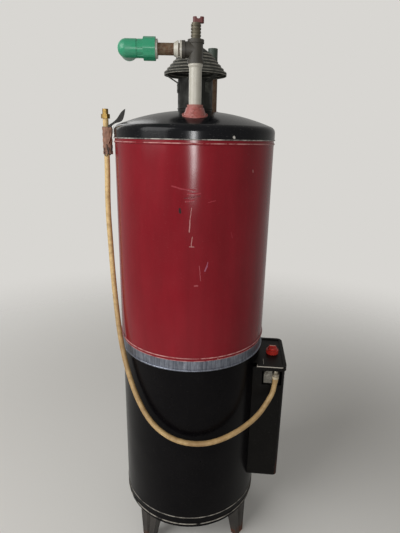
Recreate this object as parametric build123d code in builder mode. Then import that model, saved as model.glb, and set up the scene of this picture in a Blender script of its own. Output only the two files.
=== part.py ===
from build123d import *
import os
from math import atan2, cos, degrees, pi, radians, sin, sqrt, tan

# Storage gas water heater that stands on four pressed legs.
# The origin is on the heater's axis at floor level, +Z is up, and the front looks along -Y.
# All sizes are in millimetres.

# Sheet and clearances
sheet = 1.0
seat_gap = 0.3
shaft_gap = 0.08

# Jacket, from the floor up
jacket_radius = 229.0
leg_height = 120.0
base_ring_height = 42.0
lower_show = 537.5
band_show = 33.5
upper_show = 605.0
lap = 16.0
bead_radius = 3.0

# Lid
lid_sphere = 600.0
lid_knuckle = 18.0
lid_rise = 80.0
lid_roll = 1.5

# Base pan
air_slot_count = 8
air_slot_width = 26.0
air_slot_length = 70.0
air_slot_circle = 150.0
pan_sheet = 1.5
pan_lip = 12.0

# Legs
leg_azimuth = -39.0
leg_sheet = 2.5
leg_top_width = 73.0
leg_top_depth = 30.0
leg_foot_width = 36.0
leg_foot_depth = 24.0
leg_top_groove = 9.0
leg_foot_groove = 4.0
leg_inset = 6.0
leg_splay = 8.0
leg_hole_radius = 4.5
leg_hole_depth = 14.0

# Water tank
wool = 28.0
tank_wall = 3.0
tank_floor = 210.0
tank_clear = 22.0
head_rise = 45.0
head_knuckle = 30.0
tank_door_width = 110.0
tank_door_height = 170.0
flue_tube_radius = 44.0
flue_tube_wall = 2.0
flue_tube_stand = 30.0

# Burner
burner_radius = 62.0
burner_height = 26.0
burner_post_radius = 14.0
burner_post_height = 135.0
burner_port_count = 16
burner_port_radius = 4.0
burner_port_circle = 46.0
burner_port_depth = 10.0
burner_tube_radius = 6.0
burner_tube_wall = 1.2
burner_tube_bend = 30.0

# Flue pipe and hood
flue_radius = 49.5
flue_sheet = 1.0
flue_show = 82.0
flue_bead = 2.0
hood_radius = 88.0
hood_gap = 10.0
hood_steps = 5
hood_step_in = 8.2
hood_step_rise = 9.2
hood_riser = 4.0
hood_rim = 8.0
hood_crown_radius = 12.0
hood_crown_rise = 24.0
strap_count = 3
strap_azimuth = 42.0
strap_width = 16.0
strap_sheet = 1.5
strap_grip = 36.0

# Pipes on the lid
inlet_inset = 52.0
hot_azimuth = 0.0
cold_azimuth = 159.0
socket_radius = 20.5
socket_show = 24.0
socket_hold = 18.0
pipe_radius = 16.0
pipe_bore = 10.6
escutcheon_radius = 33.5
escutcheon_sheet = 2.0
escutcheon_cone_radius = 28.5
escutcheon_top_radius = 22.5
escutcheon_rise = 17.0
hot_pipe_show = 95.0
collar_radius = 18.5
collar_height = 9.0

# Outlet tee with its relief valve
tee_height = 54.0
tee_radius = 18.0
tee_band_radius = 20.5
tee_band = 8.0
tee_bore = 14.3
tee_branch_drop = 21.6
tee_branch_reach = 34.0
valve_radius = 12.4
valve_height = 37.0
valve_ribs = 4
valve_rib = 1.6
valve_spindle_radius = 3.0
lever_height = 13.0
lever_length = 27.0
lever_width = 13.0
end_flat = 0.5
lever_offset = 5.7
lever_waist = 4.5

# Branch to the left of the tee
ring_radius = 20.5
ring_length = 5.0
ring_space = 3.6
cone_length = 11.0
cone_tip_radius = 15.5
nipple_radius = 14.0
nipple_bore = 10.5
nipple_end = 104.0
nipple_lap = 12.0
seal_radius = 22.3
seal_length = 5.0
seal_reach = 98.5
adapter_radius = 26.2
adapter_length = 29.5
adapter_faces = 8
neck_radius = 20.6
neck_length = 17.0
elbow_radius = 22.0
elbow_reach = 170.5
elbow_leg = 46.0
elbow_socket_depth = 18.0
elbow_bore = 11.0

# Cold inlet, behind
cold_pipe_show = 108.0
cold_adapter_radius = 20.5
cold_adapter_length = 30.0
cold_neck_radius = 15.0
cold_neck_length = 44.0
cold_joint_radius = 10.0
cold_joint_depth = 16.0

# Control cover, in a frame of its own: out from the axis, along the jacket and up
control_azimuth = 84.0
cover_near = 100.0
cover_far = 78.0
cover_rise = 121.0
cover_height = 414.0
cover_sheet = 1.2
cover_corner = 16.0
cap_overhang = 17.0
cap_skirt = 16.0
cap_rise = 14.0
cap_margin = 9.0
cap_sink = 3.0
cap_bare = 12.0
notch_width = 64.0
notch_height = 62.0
door_width = 92.0
door_height = 380.0

# Thermostat and knob, with the body's distance from the jacket and what stands off its near side
body_gap = 9.0
body_spare = 12.0
knob_stand = 32.0
boss_stand = 3.0
notch_stand = -2.0
spigot_stand = 39.0
knob_along = -23.0
knob_skirt_radius = 20.0
knob_skirt_height = 13.0
knob_radius = 14.5
knob_height = 26.0
knob_scallops = 16
knob_scallop_radius = 2.2
knob_grip_width = 8.0
knob_grip_height = 5.0
knob_lift = 0.5
stem_radius = 5.0
stem_depth = 10.0
stem_hole_radius = 7.0
body_width = 58.0
body_back = 45.0
body_front = -92.0
body_height = 74.0
body_corner = 7.0
boss_width = 25.0
boss_height = 46.0
boss_front = -112.0
boss_corner = 19.0
boss_screw_radius = 3.2
boss_screw_height = 1.6
boss_screws = ((8.8, 33.1), (17.0, 13.8))
shank_radius = 13.0
shank_drop = 24.0

# Gas hose, its fittings and its tie
hose_radius = 8.0
hose_drop = 50.0
spigot_along = -110.0
spigot_radius = 7.0
spigot_collar_radius = 10.5
spigot_collar_height = 7.0
spigot_bend = 12.0
clip_radius = 10.5
clip_width = 8.0
clip_drop = 1.5
nozzle_radius = 12.7
nozzle_nut_height = 12.0
nozzle_thread_radius = 8.33
nozzle_thread_height = 14.0
nozzle_bore = 3.5
tie_turns = 9
tie_turn_height = 8.4
tie_radius = 11.0
tie_depth = 6.0
tie_drop = 7.0
tie_ridge = 0.8
blade_side = 9.7
blade_sheet = 2.5
hook_sheet = 1.5
hook_width = 9.0
hook_slot = 3.4
hook_step = 9.0
hook_rise = 6.0

# Distances from the axis that follow from the sizes above
tank_radius = jacket_radius - sheet - wool
inlet_circle = tank_radius - inlet_inset
body_near = jacket_radius + body_gap
cover_reach = body_near + body_width + body_spare
knob_out = body_near + knob_stand
boss_near = body_near + boss_stand
notch_near = body_near + notch_stand
spigot_out = body_near + spigot_stand

# Heights that follow from the sizes above
ring_top_z = leg_height + base_ring_height
band_z = ring_top_z + lower_show
upper_z = band_z + band_show
rim_z = upper_z + upper_show
lid_radius = jacket_radius + 3 * sheet + 3 * seat_gap
crown_z = rim_z + lid_rise
sphere_z = crown_z - lid_sphere
flue_top_z = crown_z + flue_show
hood_z = flue_top_z + hood_gap
cover_z = leg_height + cover_rise
cover_top_z = cover_z + cover_height
cap_z = cover_top_z + cap_rise


def dome_height(radius):
    """Height of the lid's outer surface above the floor, at a distance from the axis."""
    return sphere_z + sqrt(lid_sphere**2 - radius**2)


def azimuth_point(radius, azimuth):
    """Point at a distance from the axis, at an angle from the front towards the right."""
    return (radius * sin(radians(azimuth)), -radius * cos(radians(azimuth)))


def save(piece, name):
    """Labels a finished piece and writes it under the same name."""
    piece.part.label = name
    export_step(piece.part, f"parts/{name}.step")


def ring_profile(inner, outer, low, high):
    """Closed outline of a plain ring in the radial plane."""
    with BuildLine() as outline:
        Polyline((inner, low), (outer, low), (outer, high), (inner, high), close=True)
    return outline.line


os.makedirs("parts", exist_ok=True)

# Jackets, band and base ring
lower_outer = jacket_radius
lower_inner = lower_outer - sheet
band_inner = lower_outer + seat_gap
band_outer = band_inner + sheet
upper_inner = band_outer + seat_gap
upper_outer = upper_inner + sheet
ring_outer = lower_inner - seat_gap
flange_inner = ring_outer - leg_top_depth - leg_inset
control_angle = control_azimuth - 90
out_dir = (cos(radians(control_angle)), sin(radians(control_angle)), 0)
door_centre = (cover_near - cover_far) / -2


def upright_plane(out):
    """Vertical plane through the axis: its x axis leads out that way and its y axis is up."""
    return Plane(origin=(0, 0, 0), x_dir=out, z_dir=Vector(out).cross(Vector(0, 0, 1)))


def control_plane(z):
    """Level plane of the control cover: its x axis leads out from the heater's axis."""
    return Plane(origin=(0, 0, z), x_dir=out_dir, z_dir=(0, 0, 1))


with BuildPart() as lower_jacket:
    with BuildSketch(Plane.XZ):
        make_face(ring_profile(lower_inner, lower_outer, ring_top_z, band_z + lap / 2))
    revolve(axis=Axis.Z)
    with BuildSketch(control_plane(cover_z + lap)):
        with Locations((lower_outer, door_centre)):
            Rectangle(6 * lap, door_width)
    extrude(amount=door_height, mode=Mode.SUBTRACT)
save(lower_jacket, "lower_jacket")

with BuildPart() as base_ring:
    with BuildSketch(Plane.XZ):
        make_face(ring_profile(ring_outer - sheet, ring_outer, leg_height, ring_top_z + lap))
        with Locations((ring_outer - sheet / 2, leg_height + 4 * bead_radius)):
            Circle(bead_radius)
        with Locations((ring_outer - sheet / 2, ring_top_z - bead_radius)):
            Circle(bead_radius)
        make_face(ring_profile(flange_inner, ring_outer, leg_height, leg_height + sheet))
    revolve(axis=Axis.Z)
save(base_ring, "base_ring")

pan_z = leg_height + sheet
pan_outer = ring_outer - sheet - bead_radius - seat_gap
with BuildPart() as base_pan:
    with BuildSketch(Plane.XY.offset(pan_z)):
        Circle(pan_outer)
        with PolarLocations(air_slot_circle - air_slot_length / 2, air_slot_count):
            SlotOverall(air_slot_length, air_slot_width, mode=Mode.SUBTRACT)
    extrude(amount=pan_sheet)
    with BuildSketch(Plane.XY.offset(pan_z)):
        Circle(pan_outer)
        Circle(pan_outer - pan_sheet, mode=Mode.SUBTRACT)
    extrude(amount=pan_lip)
save(base_pan, "base_pan")

with BuildPart() as jacket_band:
    with BuildSketch(Plane.XZ):
        make_face(ring_profile(band_inner, band_outer, band_z, upper_z + lap))
        with Locations((band_outer, band_z + bead_radius)):
            Circle(bead_radius)
        make_face(ring_profile(band_inner - 2 * bead_radius, band_inner, band_z, upper_z))
        with BuildLine():
            Polyline(
                (band_inner - 3 * bead_radius, band_z),
                (band_inner, band_z),
                (band_inner, upper_z),
                (band_inner - 3 * bead_radius, upper_z),
                close=True,
            )
        make_face(mode=Mode.SUBTRACT)
    revolve(axis=Axis.Z)
save(jacket_band, "jacket_band")

with BuildPart() as upper_jacket:
    with BuildSketch(Plane.XZ):
        make_face(ring_profile(upper_inner, upper_outer, upper_z, rim_z + lid_knuckle / 2))
        for bead_z in (upper_z + 3 * bead_radius, rim_z - 3 * bead_radius):
            with Locations((upper_outer - sheet / 2, bead_z)):
                Circle(bead_radius)
        with BuildLine():
            Polyline(
                (upper_inner - 3 * bead_radius, upper_z),
                (upper_inner, upper_z),
                (upper_inner, rim_z),
                (upper_inner - 3 * bead_radius, rim_z),
                close=True,
            )
        make_face(mode=Mode.SUBTRACT)
    revolve(axis=Axis.Z)
save(upper_jacket, "upper_jacket")

# Lid: a spherical dome, a rounded shoulder and a short skirt with a rolled rim
knuckle_x = lid_radius - lid_knuckle
knuckle_z = sphere_z + sqrt((lid_sphere - lid_knuckle) ** 2 - knuckle_x**2)
shoulder_angle = degrees(atan2(knuckle_z - sphere_z, knuckle_x))
hot_point = azimuth_point(inlet_circle, hot_azimuth)
cold_point = azimuth_point(inlet_circle, cold_azimuth)
with BuildPart() as lid:
    with BuildSketch(Plane.XZ):
        with BuildLine():
            CenterArc((0, sphere_z), lid_sphere, 90, shoulder_angle - 90)
            CenterArc((knuckle_x, knuckle_z), lid_knuckle, shoulder_angle, -shoulder_angle)
            Polyline(
                (lid_radius, knuckle_z),
                (lid_radius, rim_z),
                (lid_radius - sheet, rim_z),
                (lid_radius - sheet, knuckle_z),
            )
            CenterArc((knuckle_x, knuckle_z), lid_knuckle - sheet, 0, shoulder_angle)
            CenterArc((0, sphere_z), lid_sphere - sheet, shoulder_angle, 90 - shoulder_angle)
            Line((0, crown_z - sheet), (0, crown_z))
        make_face()
        with Locations((lid_radius + lid_roll - sheet, rim_z + lid_roll)):
            Circle(lid_roll)
    revolve(axis=Axis.Z)
    with BuildSketch(Plane.XY.offset(rim_z)):
        Circle(flue_tube_radius + seat_gap)
        with Locations(hot_point, cold_point):
            Circle(socket_radius + seat_gap)
    extrude(amount=2 * lid_rise, mode=Mode.SUBTRACT)
save(lid, "lid")

# Legs: a tapering channel with a folded groove down its face, a top plate and a foot


def leg_outline(width, depth, groove):
    """Corners of the channel's section: open inwards, with a V groove in the middle of its face."""
    half = width / 2
    mitre = leg_sheet * tan(radians(22.5))
    deep = leg_sheet * sqrt(2)
    outside = [(-half, depth), (-half, 0), (-groove, 0), (0, groove), (groove, 0), (half, 0), (half, depth)]
    inside = [
        (half - leg_sheet, depth),
        (half - leg_sheet, leg_sheet),
        (groove + mitre, leg_sheet),
        (0, groove + deep),
        (-groove - mitre, leg_sheet),
        (leg_sheet - half, leg_sheet),
        (leg_sheet - half, depth),
    ]
    return outside + inside


def leg_plane(angle, radius, z):
    """Level plane whose origin is on a leg's outer face and whose y axis leads to the heater's axis."""
    return Plane(
        origin=(radius * cos(angle), radius * sin(angle), z),
        x_dir=(-sin(angle), cos(angle), 0),
        z_dir=(0, 0, 1),
    )


leg_face = ring_outer - leg_inset
for leg_number in range(4):
    leg_angle = radians(leg_azimuth + 90 * leg_number - 90)
    leg_top = leg_plane(leg_angle, leg_face, leg_height - leg_sheet)
    leg_foot = leg_plane(leg_angle, leg_face + leg_splay, 0)
    with BuildPart() as leg:
        with BuildSketch(leg_foot.offset(leg_sheet)):
            with BuildLine():
                Polyline(*leg_outline(leg_foot_width, leg_foot_depth, leg_foot_groove), close=True)
            make_face()
        with BuildSketch(leg_top):
            with BuildLine():
                Polyline(*leg_outline(leg_top_width, leg_top_depth, leg_top_groove), close=True)
            make_face()
        loft(ruled=True)
        with BuildSketch(leg_top):
            with Locations((0, leg_top_depth / 2)):
                Rectangle(leg_top_width, leg_top_depth)
        extrude(amount=leg_sheet)
        with BuildSketch(leg_foot):
            with Locations((0, leg_foot_depth / 2)):
                Rectangle(leg_foot_width, leg_foot_depth)
            with Locations((0, leg_hole_depth)):
                Circle(leg_hole_radius, mode=Mode.SUBTRACT)
        extrude(amount=leg_sheet)
    save(leg, f"leg_{leg_number + 1}")

# Tank: its shell runs down to the base pan as a skirt round the burner
shell_low = pan_z + pan_sheet
shell_high = rim_z - tank_clear - head_rise
bottom_head_z = shell_low + tank_floor
with BuildPart() as tank_shell:
    with BuildSketch(Plane.XZ):
        make_face(ring_profile(tank_radius - tank_wall, tank_radius, shell_low, shell_high))
    revolve(axis=Axis.Z)
    with BuildSketch(control_plane(shell_low)):
        with Locations((tank_radius, door_centre)):
            Rectangle(tank_radius / 2, tank_door_width)
    extrude(amount=tank_door_height, mode=Mode.SUBTRACT)
    with BuildSketch(Plane(control_plane(cap_z - cap_rise - body_height / 2 - shank_drop).origin,
                           x_dir=(0, 0, 1), z_dir=out_dir)):
        with Locations((0, door_centre)):
            Circle(shank_radius + seat_gap)
    extrude(amount=tank_radius + lap, mode=Mode.SUBTRACT)
save(tank_shell, "tank_shell")


def dished_head(name, radius, low, holes):
    """Dished tank end: a domed sheet with a rounded edge, a straight flange and holes for tubes."""
    knuckle_at = radius - head_knuckle
    dish = (knuckle_at**2 + (head_rise - head_knuckle) ** 2) / (2 * (head_rise - head_knuckle))
    dish = dish + head_knuckle
    centre_z = low + head_rise - dish
    edge_z = centre_z + sqrt((dish - head_knuckle) ** 2 - knuckle_at**2)
    angle = degrees(atan2(edge_z - centre_z, knuckle_at))
    with BuildPart() as head:
        with BuildSketch(Plane.XZ):
            with BuildLine():
                CenterArc((0, centre_z), dish, 90, angle - 90)
                CenterArc((knuckle_at, edge_z), head_knuckle, angle, -angle)
                Polyline(
                    (radius, edge_z),
                    (radius, edge_z - lap),
                    (radius - tank_wall, edge_z - lap),
                    (radius - tank_wall, edge_z),
                )
                CenterArc((knuckle_at, edge_z), head_knuckle - tank_wall, 0, angle)
                CenterArc((0, centre_z), dish - tank_wall, angle, 90 - angle)
                Line((0, centre_z + dish - tank_wall), (0, centre_z + dish))
            make_face()
        revolve(axis=Axis.Z)
        with BuildSketch(Plane.XY.offset(low - lap)):
            for point, hole in holes:
                with Locations(point):
                    Circle(hole)
        extrude(amount=2 * (head_rise + lap), mode=Mode.SUBTRACT)
    save(head, name)
    return edge_z


head_radius = tank_radius - tank_wall - seat_gap
flue_hole = ((0, 0), flue_tube_radius + seat_gap)
dished_head("tank_bottom_head", head_radius, bottom_head_z, [flue_hole])
dished_head(
    "tank_top_head",
    head_radius,
    shell_high - head_knuckle + lap,
    [flue_hole, (hot_point, socket_radius + seat_gap), (cold_point, socket_radius + seat_gap)],
)

with BuildPart() as flue_tube:
    with BuildSketch(Plane.XY.offset(bottom_head_z)):
        Circle(flue_tube_radius)
        Circle(flue_tube_radius - flue_tube_wall, mode=Mode.SUBTRACT)
    extrude(amount=crown_z + flue_tube_stand - bottom_head_z)
save(flue_tube, "flue_tube")

# Burner on its post, and the tube that feeds it from the thermostat
burner_low = shell_low + burner_post_height
with BuildPart() as burner:
    with BuildSketch(Plane.XY.offset(shell_low)):
        Circle(burner_post_radius)
    extrude(amount=burner_post_height)
    with BuildSketch(Plane.XY.offset(burner_low)):
        Circle(burner_radius)
    extrude(amount=burner_height)
    fillet(burner.faces().sort_by(Axis.Z)[-1].edges(), radius=burner_height / 4)
    with BuildSketch(Plane.XY.offset(burner_low + burner_height - burner_port_depth)):
        with PolarLocations(burner_port_circle, burner_port_count):
            Circle(burner_port_radius)
    extrude(amount=burner_port_depth, mode=Mode.SUBTRACT)
save(burner, "burner")

body_z = cap_z - cap_rise - seat_gap - body_height
tube_z = burner_low + burner_height / 2
tube_out = body_near + body_width / 2
tube_end = burner_radius + seat_gap
tube_plane = upright_plane(out_dir).offset(-door_centre)
with BuildPart() as burner_tube:
    with BuildLine(tube_plane) as tube_path:
        FilletPolyline((tube_out, body_z), (tube_out, tube_z), (tube_end, tube_z), radius=burner_tube_bend)
    with BuildSketch(Plane(origin=tube_path.line @ 0, z_dir=tube_path.line % 0)):
        Circle(burner_tube_radius)
        Circle(burner_tube_radius - burner_tube_wall, mode=Mode.SUBTRACT)
    sweep()
save(burner_tube, "burner_tube")

# Flue pipe, its straps and the ribbed hood
flue_low = dome_height(flue_radius - flue_sheet)
with BuildPart() as flue_pipe:
    with BuildSketch(Plane.XZ):
        make_face(ring_profile(flue_radius - flue_sheet, flue_radius, flue_low, flue_top_z))
        with Locations((flue_radius - flue_sheet / 2, flue_low + 3 * flue_bead)):
            Circle(flue_bead)
        with BuildLine():
            Polyline(
                (flue_radius - 3 * flue_bead, flue_low),
                (flue_radius - flue_sheet, flue_low),
                (flue_radius - flue_sheet, flue_top_z),
                (flue_radius - 3 * flue_bead, flue_top_z),
                close=True,
            )
        make_face(mode=Mode.SUBTRACT)
    revolve(axis=Axis.Z)
save(flue_pipe, "flue_pipe")

hood_outside = [(hood_radius, hood_z), (hood_radius, hood_z + hood_rim)]
for step in range(hood_steps):
    step_radius = hood_radius - hood_step_in * (step + 1)
    step_z = hood_z + hood_rim + hood_step_rise * (step + 1) - hood_riser
    hood_outside += [(step_radius, step_z), (step_radius, step_z + hood_riser)]
hood_outside.append((hood_crown_radius, hood_outside[-1][1] + hood_crown_rise))
hood_inside = [(x - flue_sheet, max(z - flue_sheet, hood_z)) for x, z in hood_outside]
with BuildPart() as hood:
    with BuildSketch(Plane.XZ):
        with BuildLine():
            Polyline(
                *hood_outside,
                (0, hood_outside[-1][1]),
                (0, hood_inside[-1][1]),
                *reversed(hood_inside),
                close=True,
            )
        make_face()
    revolve(axis=Axis.Z)
save(hood, "hood")

strap_foot = flue_radius + seat_gap
strap_head = sqrt((hood_radius - flue_sheet - seat_gap) ** 2 - (strap_width / 2) ** 2) - strap_sheet
for strap_number in range(strap_count):
    with BuildPart() as strap:
        with BuildSketch(Plane.XZ.rotated((0, 0, 360 / strap_count * strap_number + strap_azimuth - 90))):
            with BuildLine():
                Polyline(
                    (strap_foot, flue_top_z - strap_grip),
                    (strap_foot + strap_sheet, flue_top_z - strap_grip),
                    (strap_foot + strap_sheet, flue_top_z - hood_gap),
                    (strap_head + strap_sheet, hood_z),
                    (strap_head + strap_sheet, hood_z + hood_rim - flue_sheet - seat_gap),
                    (strap_head, hood_z + hood_rim - flue_sheet - seat_gap),
                    (strap_head, hood_z),
                    (strap_foot, flue_top_z - hood_gap),
                    close=True,
                )
            make_face()
        extrude(amount=strap_width / 2, both=True)
    save(strap, f"hood_strap_{strap_number + 1}")

# Pipe connections on the lid: a threaded socket welded to the tank, and a pressed escutcheon
socket_low = shell_high - head_knuckle
seat_z = dome_height(inlet_circle)
socket_high = seat_z + socket_show
cone_spread = escutcheon_cone_radius - escutcheon_top_radius


def inlet_plane(azimuth, z):
    """Level plane over a pipe connection on the lid: its x axis runs round the heater."""
    return Plane(
        origin=(*azimuth_point(inlet_circle, azimuth), z),
        x_dir=(cos(radians(azimuth)), sin(radians(azimuth)), 0),
        z_dir=(0, 0, 1),
    )


def lid_socket(prefix, azimuth):
    """Socket from the tank's head up through the lid, with the escutcheon that covers its hole."""
    with BuildPart() as socket:
        with BuildSketch(inlet_plane(azimuth, socket_low)):
            Circle(socket_radius)
            Circle(pipe_bore, mode=Mode.SUBTRACT)
        extrude(amount=socket_high - socket_low)
        with BuildSketch(inlet_plane(azimuth, socket_high - socket_hold)):
            Circle(pipe_radius + shaft_gap)
        extrude(amount=socket_hold, mode=Mode.SUBTRACT)
    save(socket, f"{prefix}_socket")
    with BuildPart() as escutcheon:
        with Locations((0, 0, sphere_z)):
            Sphere(lid_sphere + seat_gap + escutcheon_sheet)
        with BuildSketch(inlet_plane(azimuth, seat_z - escutcheon_rise)):
            Circle(escutcheon_cone_radius + cone_spread)
        with BuildSketch(inlet_plane(azimuth, seat_z + escutcheon_rise)):
            Circle(escutcheon_top_radius)
        loft()
        with BuildSketch(inlet_plane(azimuth, rim_z)):
            Circle(escutcheon_radius)
            Circle(socket_radius + seat_gap, mode=Mode.SUBTRACT)
        extrude(amount=2 * lid_rise, mode=Mode.INTERSECT)
        with Locations((0, 0, sphere_z)):
            Sphere(lid_sphere + seat_gap, mode=Mode.SUBTRACT)
    save(escutcheon, f"{prefix}_escutcheon")


lid_socket("hot", hot_azimuth)
lid_socket("cold", cold_azimuth)


def lid_pipe(name, point, show):
    """Plastic pipe that stands in a lid socket, with a flared collar at its top."""
    low = socket_high - socket_hold
    high = socket_high + show
    with BuildPart() as pipe:
        with BuildSketch(Plane.XY.offset(low)):
            with Locations(point):
                Circle(pipe_radius)
        extrude(amount=high - low - collar_height)
        with BuildSketch(Plane.XY.offset(high - collar_height)):
            with Locations(point):
                Circle(pipe_radius)
        with BuildSketch(Plane.XY.offset(high - collar_height / 2)):
            with Locations(point):
                Circle(collar_radius)
        loft()
        with BuildSketch(Plane.XY.offset(high - collar_height / 2)):
            with Locations(point):
                Circle(collar_radius)
        extrude(amount=collar_height / 2)
        with BuildSketch(Plane.XY.offset(low)):
            with Locations(point):
                Circle(pipe_bore)
        extrude(amount=high - low, mode=Mode.SUBTRACT)
    save(pipe, name)
    return high


hot_pipe_z = lid_pipe("hot_pipe", hot_point, hot_pipe_show)
cold_pipe_z = lid_pipe("cold_pipe", cold_point, cold_pipe_show)

# Outlet tee: a banded run up and a branch to the left
tee_top_z = hot_pipe_z + tee_height
branch_z = tee_top_z - tee_branch_drop
branch_plane = Plane(origin=(hot_point[0], hot_point[1], branch_z), x_dir=(0, 1, 0), z_dir=(-1, 0, 0))
with BuildPart() as outlet_tee:
    for low, radius, length in (
        (hot_pipe_z, tee_radius, tee_height),
        (hot_pipe_z, tee_band_radius, tee_band),
        (tee_top_z - tee_band, tee_band_radius, tee_band),
    ):
        with BuildSketch(Plane.XY.offset(low)):
            with Locations(hot_point):
                Circle(radius)
        extrude(amount=length)
    with BuildSketch(branch_plane):
        Circle(tee_radius)
    extrude(amount=tee_branch_reach)
    with BuildSketch(branch_plane.offset(tee_branch_reach - tee_band)):
        Circle(tee_band_radius)
    extrude(amount=tee_band)
    with BuildSketch(Plane.XY.offset(hot_pipe_z)):
        with Locations(hot_point):
            Circle(pipe_bore)
    extrude(amount=tee_height, mode=Mode.SUBTRACT)
    with BuildSketch(branch_plane):
        Circle(nipple_bore)
    extrude(amount=tee_branch_reach, mode=Mode.SUBTRACT)
    with BuildSketch(branch_plane.offset(tee_branch_reach - nipple_lap)):
        Circle(tee_bore)
    extrude(amount=nipple_lap, mode=Mode.SUBTRACT)
save(outlet_tee, "outlet_tee")

# Relief valve with ribs round it, and the lever on its top
valve_top_z = tee_top_z + valve_height
rib_pitch = valve_height / (valve_ribs + 1)
with BuildPart() as relief_valve:
    with BuildSketch(Plane.XZ) as valve_half:
        make_face(ring_profile(0, valve_radius - valve_rib, tee_top_z, valve_top_z))
        for rib in range(valve_ribs + 1):
            rib_low = tee_top_z + rib * rib_pitch
            make_face(ring_profile(0, valve_radius, rib_low, rib_low + rib_pitch / 2))
        make_face(ring_profile(0, valve_spindle_radius, valve_top_z, valve_top_z + lever_height / 2))
    revolve(axis=Axis.Z)
relief_valve.part.position = (hot_point[0], hot_point[1], 0)
save(relief_valve, "relief_valve")

with BuildPart() as relief_lever:
    with BuildSketch(Plane.XY.offset(valve_top_z)):
        with Locations((hot_point[0] + lever_offset, hot_point[1])):
            RectangleRounded(lever_length, lever_width, lever_width / 2 - end_flat)
    extrude(amount=lever_height)
    with BuildSketch(Plane.XZ.offset(-hot_point[1])):
        with Locations((hot_point[0] + lever_offset, valve_top_z + lever_height)):
            Circle(lever_waist)
    extrude(amount=lever_width, both=True, mode=Mode.SUBTRACT)
    with BuildSketch(Plane.XY.offset(valve_top_z)):
        with Locations(hot_point):
            Circle(valve_spindle_radius + shaft_gap)
    extrude(amount=lever_height, mode=Mode.SUBTRACT)
save(relief_lever, "relief_lever")

# Left branch: three white rings on a rusty nipple, then a plastic adapter and its elbow
ring_start = tee_branch_reach
cone_start = ring_start + ring_length + ring_space
with BuildPart() as white_rings:
    with BuildSketch(branch_plane.offset(ring_start)):
        Circle(ring_radius)
    extrude(amount=ring_length)
    with BuildSketch(branch_plane.offset(cone_start)):
        Circle(ring_radius)
    with BuildSketch(branch_plane.offset(cone_start + cone_length)):
        Circle(cone_tip_radius)
    loft()
    with BuildSketch(branch_plane.offset(seal_reach - seal_length)):
        Circle(seal_radius)
    extrude(amount=seal_length)
    with BuildSketch(branch_plane.offset(ring_start)):
        Circle(nipple_radius + shaft_gap)
    extrude(amount=seal_reach, mode=Mode.SUBTRACT)
save(white_rings, "white_rings")

with BuildPart() as steel_nipple:
    with BuildSketch(branch_plane.offset(tee_branch_reach - nipple_lap)):
        Circle(nipple_radius)
        Circle(nipple_bore, mode=Mode.SUBTRACT)
    extrude(amount=nipple_end - tee_branch_reach + nipple_lap)
save(steel_nipple, "steel_nipple")

neck_reach = seal_reach + adapter_length
elbow_start = neck_reach + neck_length
with BuildPart() as green_adapter:
    with BuildSketch(branch_plane.offset(seal_reach)):
        RegularPolygon(adapter_radius, adapter_faces, major_radius=False)
        Circle(adapter_radius + 1, mode=Mode.INTERSECT)
    extrude(amount=adapter_length)
    with BuildSketch(branch_plane.offset(neck_reach)):
        Circle(neck_radius)
    extrude(amount=neck_length)
    with BuildSketch(branch_plane.offset(seal_reach)):
        Circle(nipple_radius + shaft_gap)
    extrude(amount=nipple_end - seal_reach, mode=Mode.SUBTRACT)
    with BuildSketch(branch_plane.offset(nipple_end)):
        Circle(nipple_bore)
    extrude(amount=elbow_start - nipple_end, mode=Mode.SUBTRACT)
save(green_adapter, "green_adapter")

elbow_point = (hot_point[0] - elbow_reach, hot_point[1], branch_z)
elbow_back = Plane(origin=elbow_point, x_dir=(1, 0, 0), z_dir=(0, 1, 0))
with BuildPart() as green_elbow:
    with BuildSketch(branch_plane.offset(elbow_start)):
        Circle(elbow_radius)
    extrude(amount=elbow_reach - elbow_start)
    with BuildSketch(elbow_back):
        Circle(elbow_radius)
    extrude(amount=elbow_leg)
    with Locations(elbow_point):
        Sphere(elbow_radius)
    with BuildSketch(branch_plane.offset(elbow_start)):
        Circle(elbow_bore)
    extrude(amount=elbow_reach - elbow_start, mode=Mode.SUBTRACT)
    with BuildSketch(elbow_back):
        Circle(elbow_bore)
    extrude(amount=elbow_leg, mode=Mode.SUBTRACT)
    with Locations(elbow_point):
        Sphere(elbow_bore, mode=Mode.SUBTRACT)
    with BuildSketch(elbow_back.offset(elbow_leg - elbow_socket_depth)):
        Circle(pipe_radius)
    extrude(amount=elbow_socket_depth, mode=Mode.SUBTRACT)
save(green_elbow, "green_elbow")

cold_neck_z = cold_pipe_z + cold_adapter_length
cold_top_z = cold_neck_z + cold_neck_length
with BuildPart() as cold_adapter:
    with BuildSketch(Plane.XY.offset(cold_pipe_z)):
        with Locations(cold_point):
            RegularPolygon(cold_adapter_radius, adapter_faces, major_radius=False)
    extrude(amount=cold_adapter_length)
    with BuildSketch(Plane.XY.offset(cold_neck_z)):
        with Locations(cold_point):
            Circle(cold_neck_radius)
    extrude(amount=cold_neck_length)
    with BuildSketch(Plane.XY.offset(cold_pipe_z)):
        with Locations(cold_point):
            Circle(cold_joint_radius - sheet)
    extrude(amount=cold_top_z - cold_pipe_z, mode=Mode.SUBTRACT)
    with BuildSketch(Plane.XY.offset(cold_top_z - cold_joint_depth)):
        with Locations(cold_point):
            Circle(cold_joint_radius)
    extrude(amount=cold_joint_depth, mode=Mode.SUBTRACT)
save(cold_adapter, "cold_adapter")

# Control cover: a sheet box against the jacket, with rounded outer corners and a notch for the gas inlet


def cover_shape(grow, near, far, back):
    """Level outline of the cover, grown by a distance on its three free sides."""
    low = -near - grow
    high = far + grow
    out = cover_reach + grow
    with BuildSketch() as shape:
        with Locations(((back + out) / 2, (low + high) / 2)):
            Rectangle(out - back, high - low)
        fillet(shape.vertices().group_by(Axis.X)[-1], radius=cover_corner + grow)
    return shape.sketch


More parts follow.
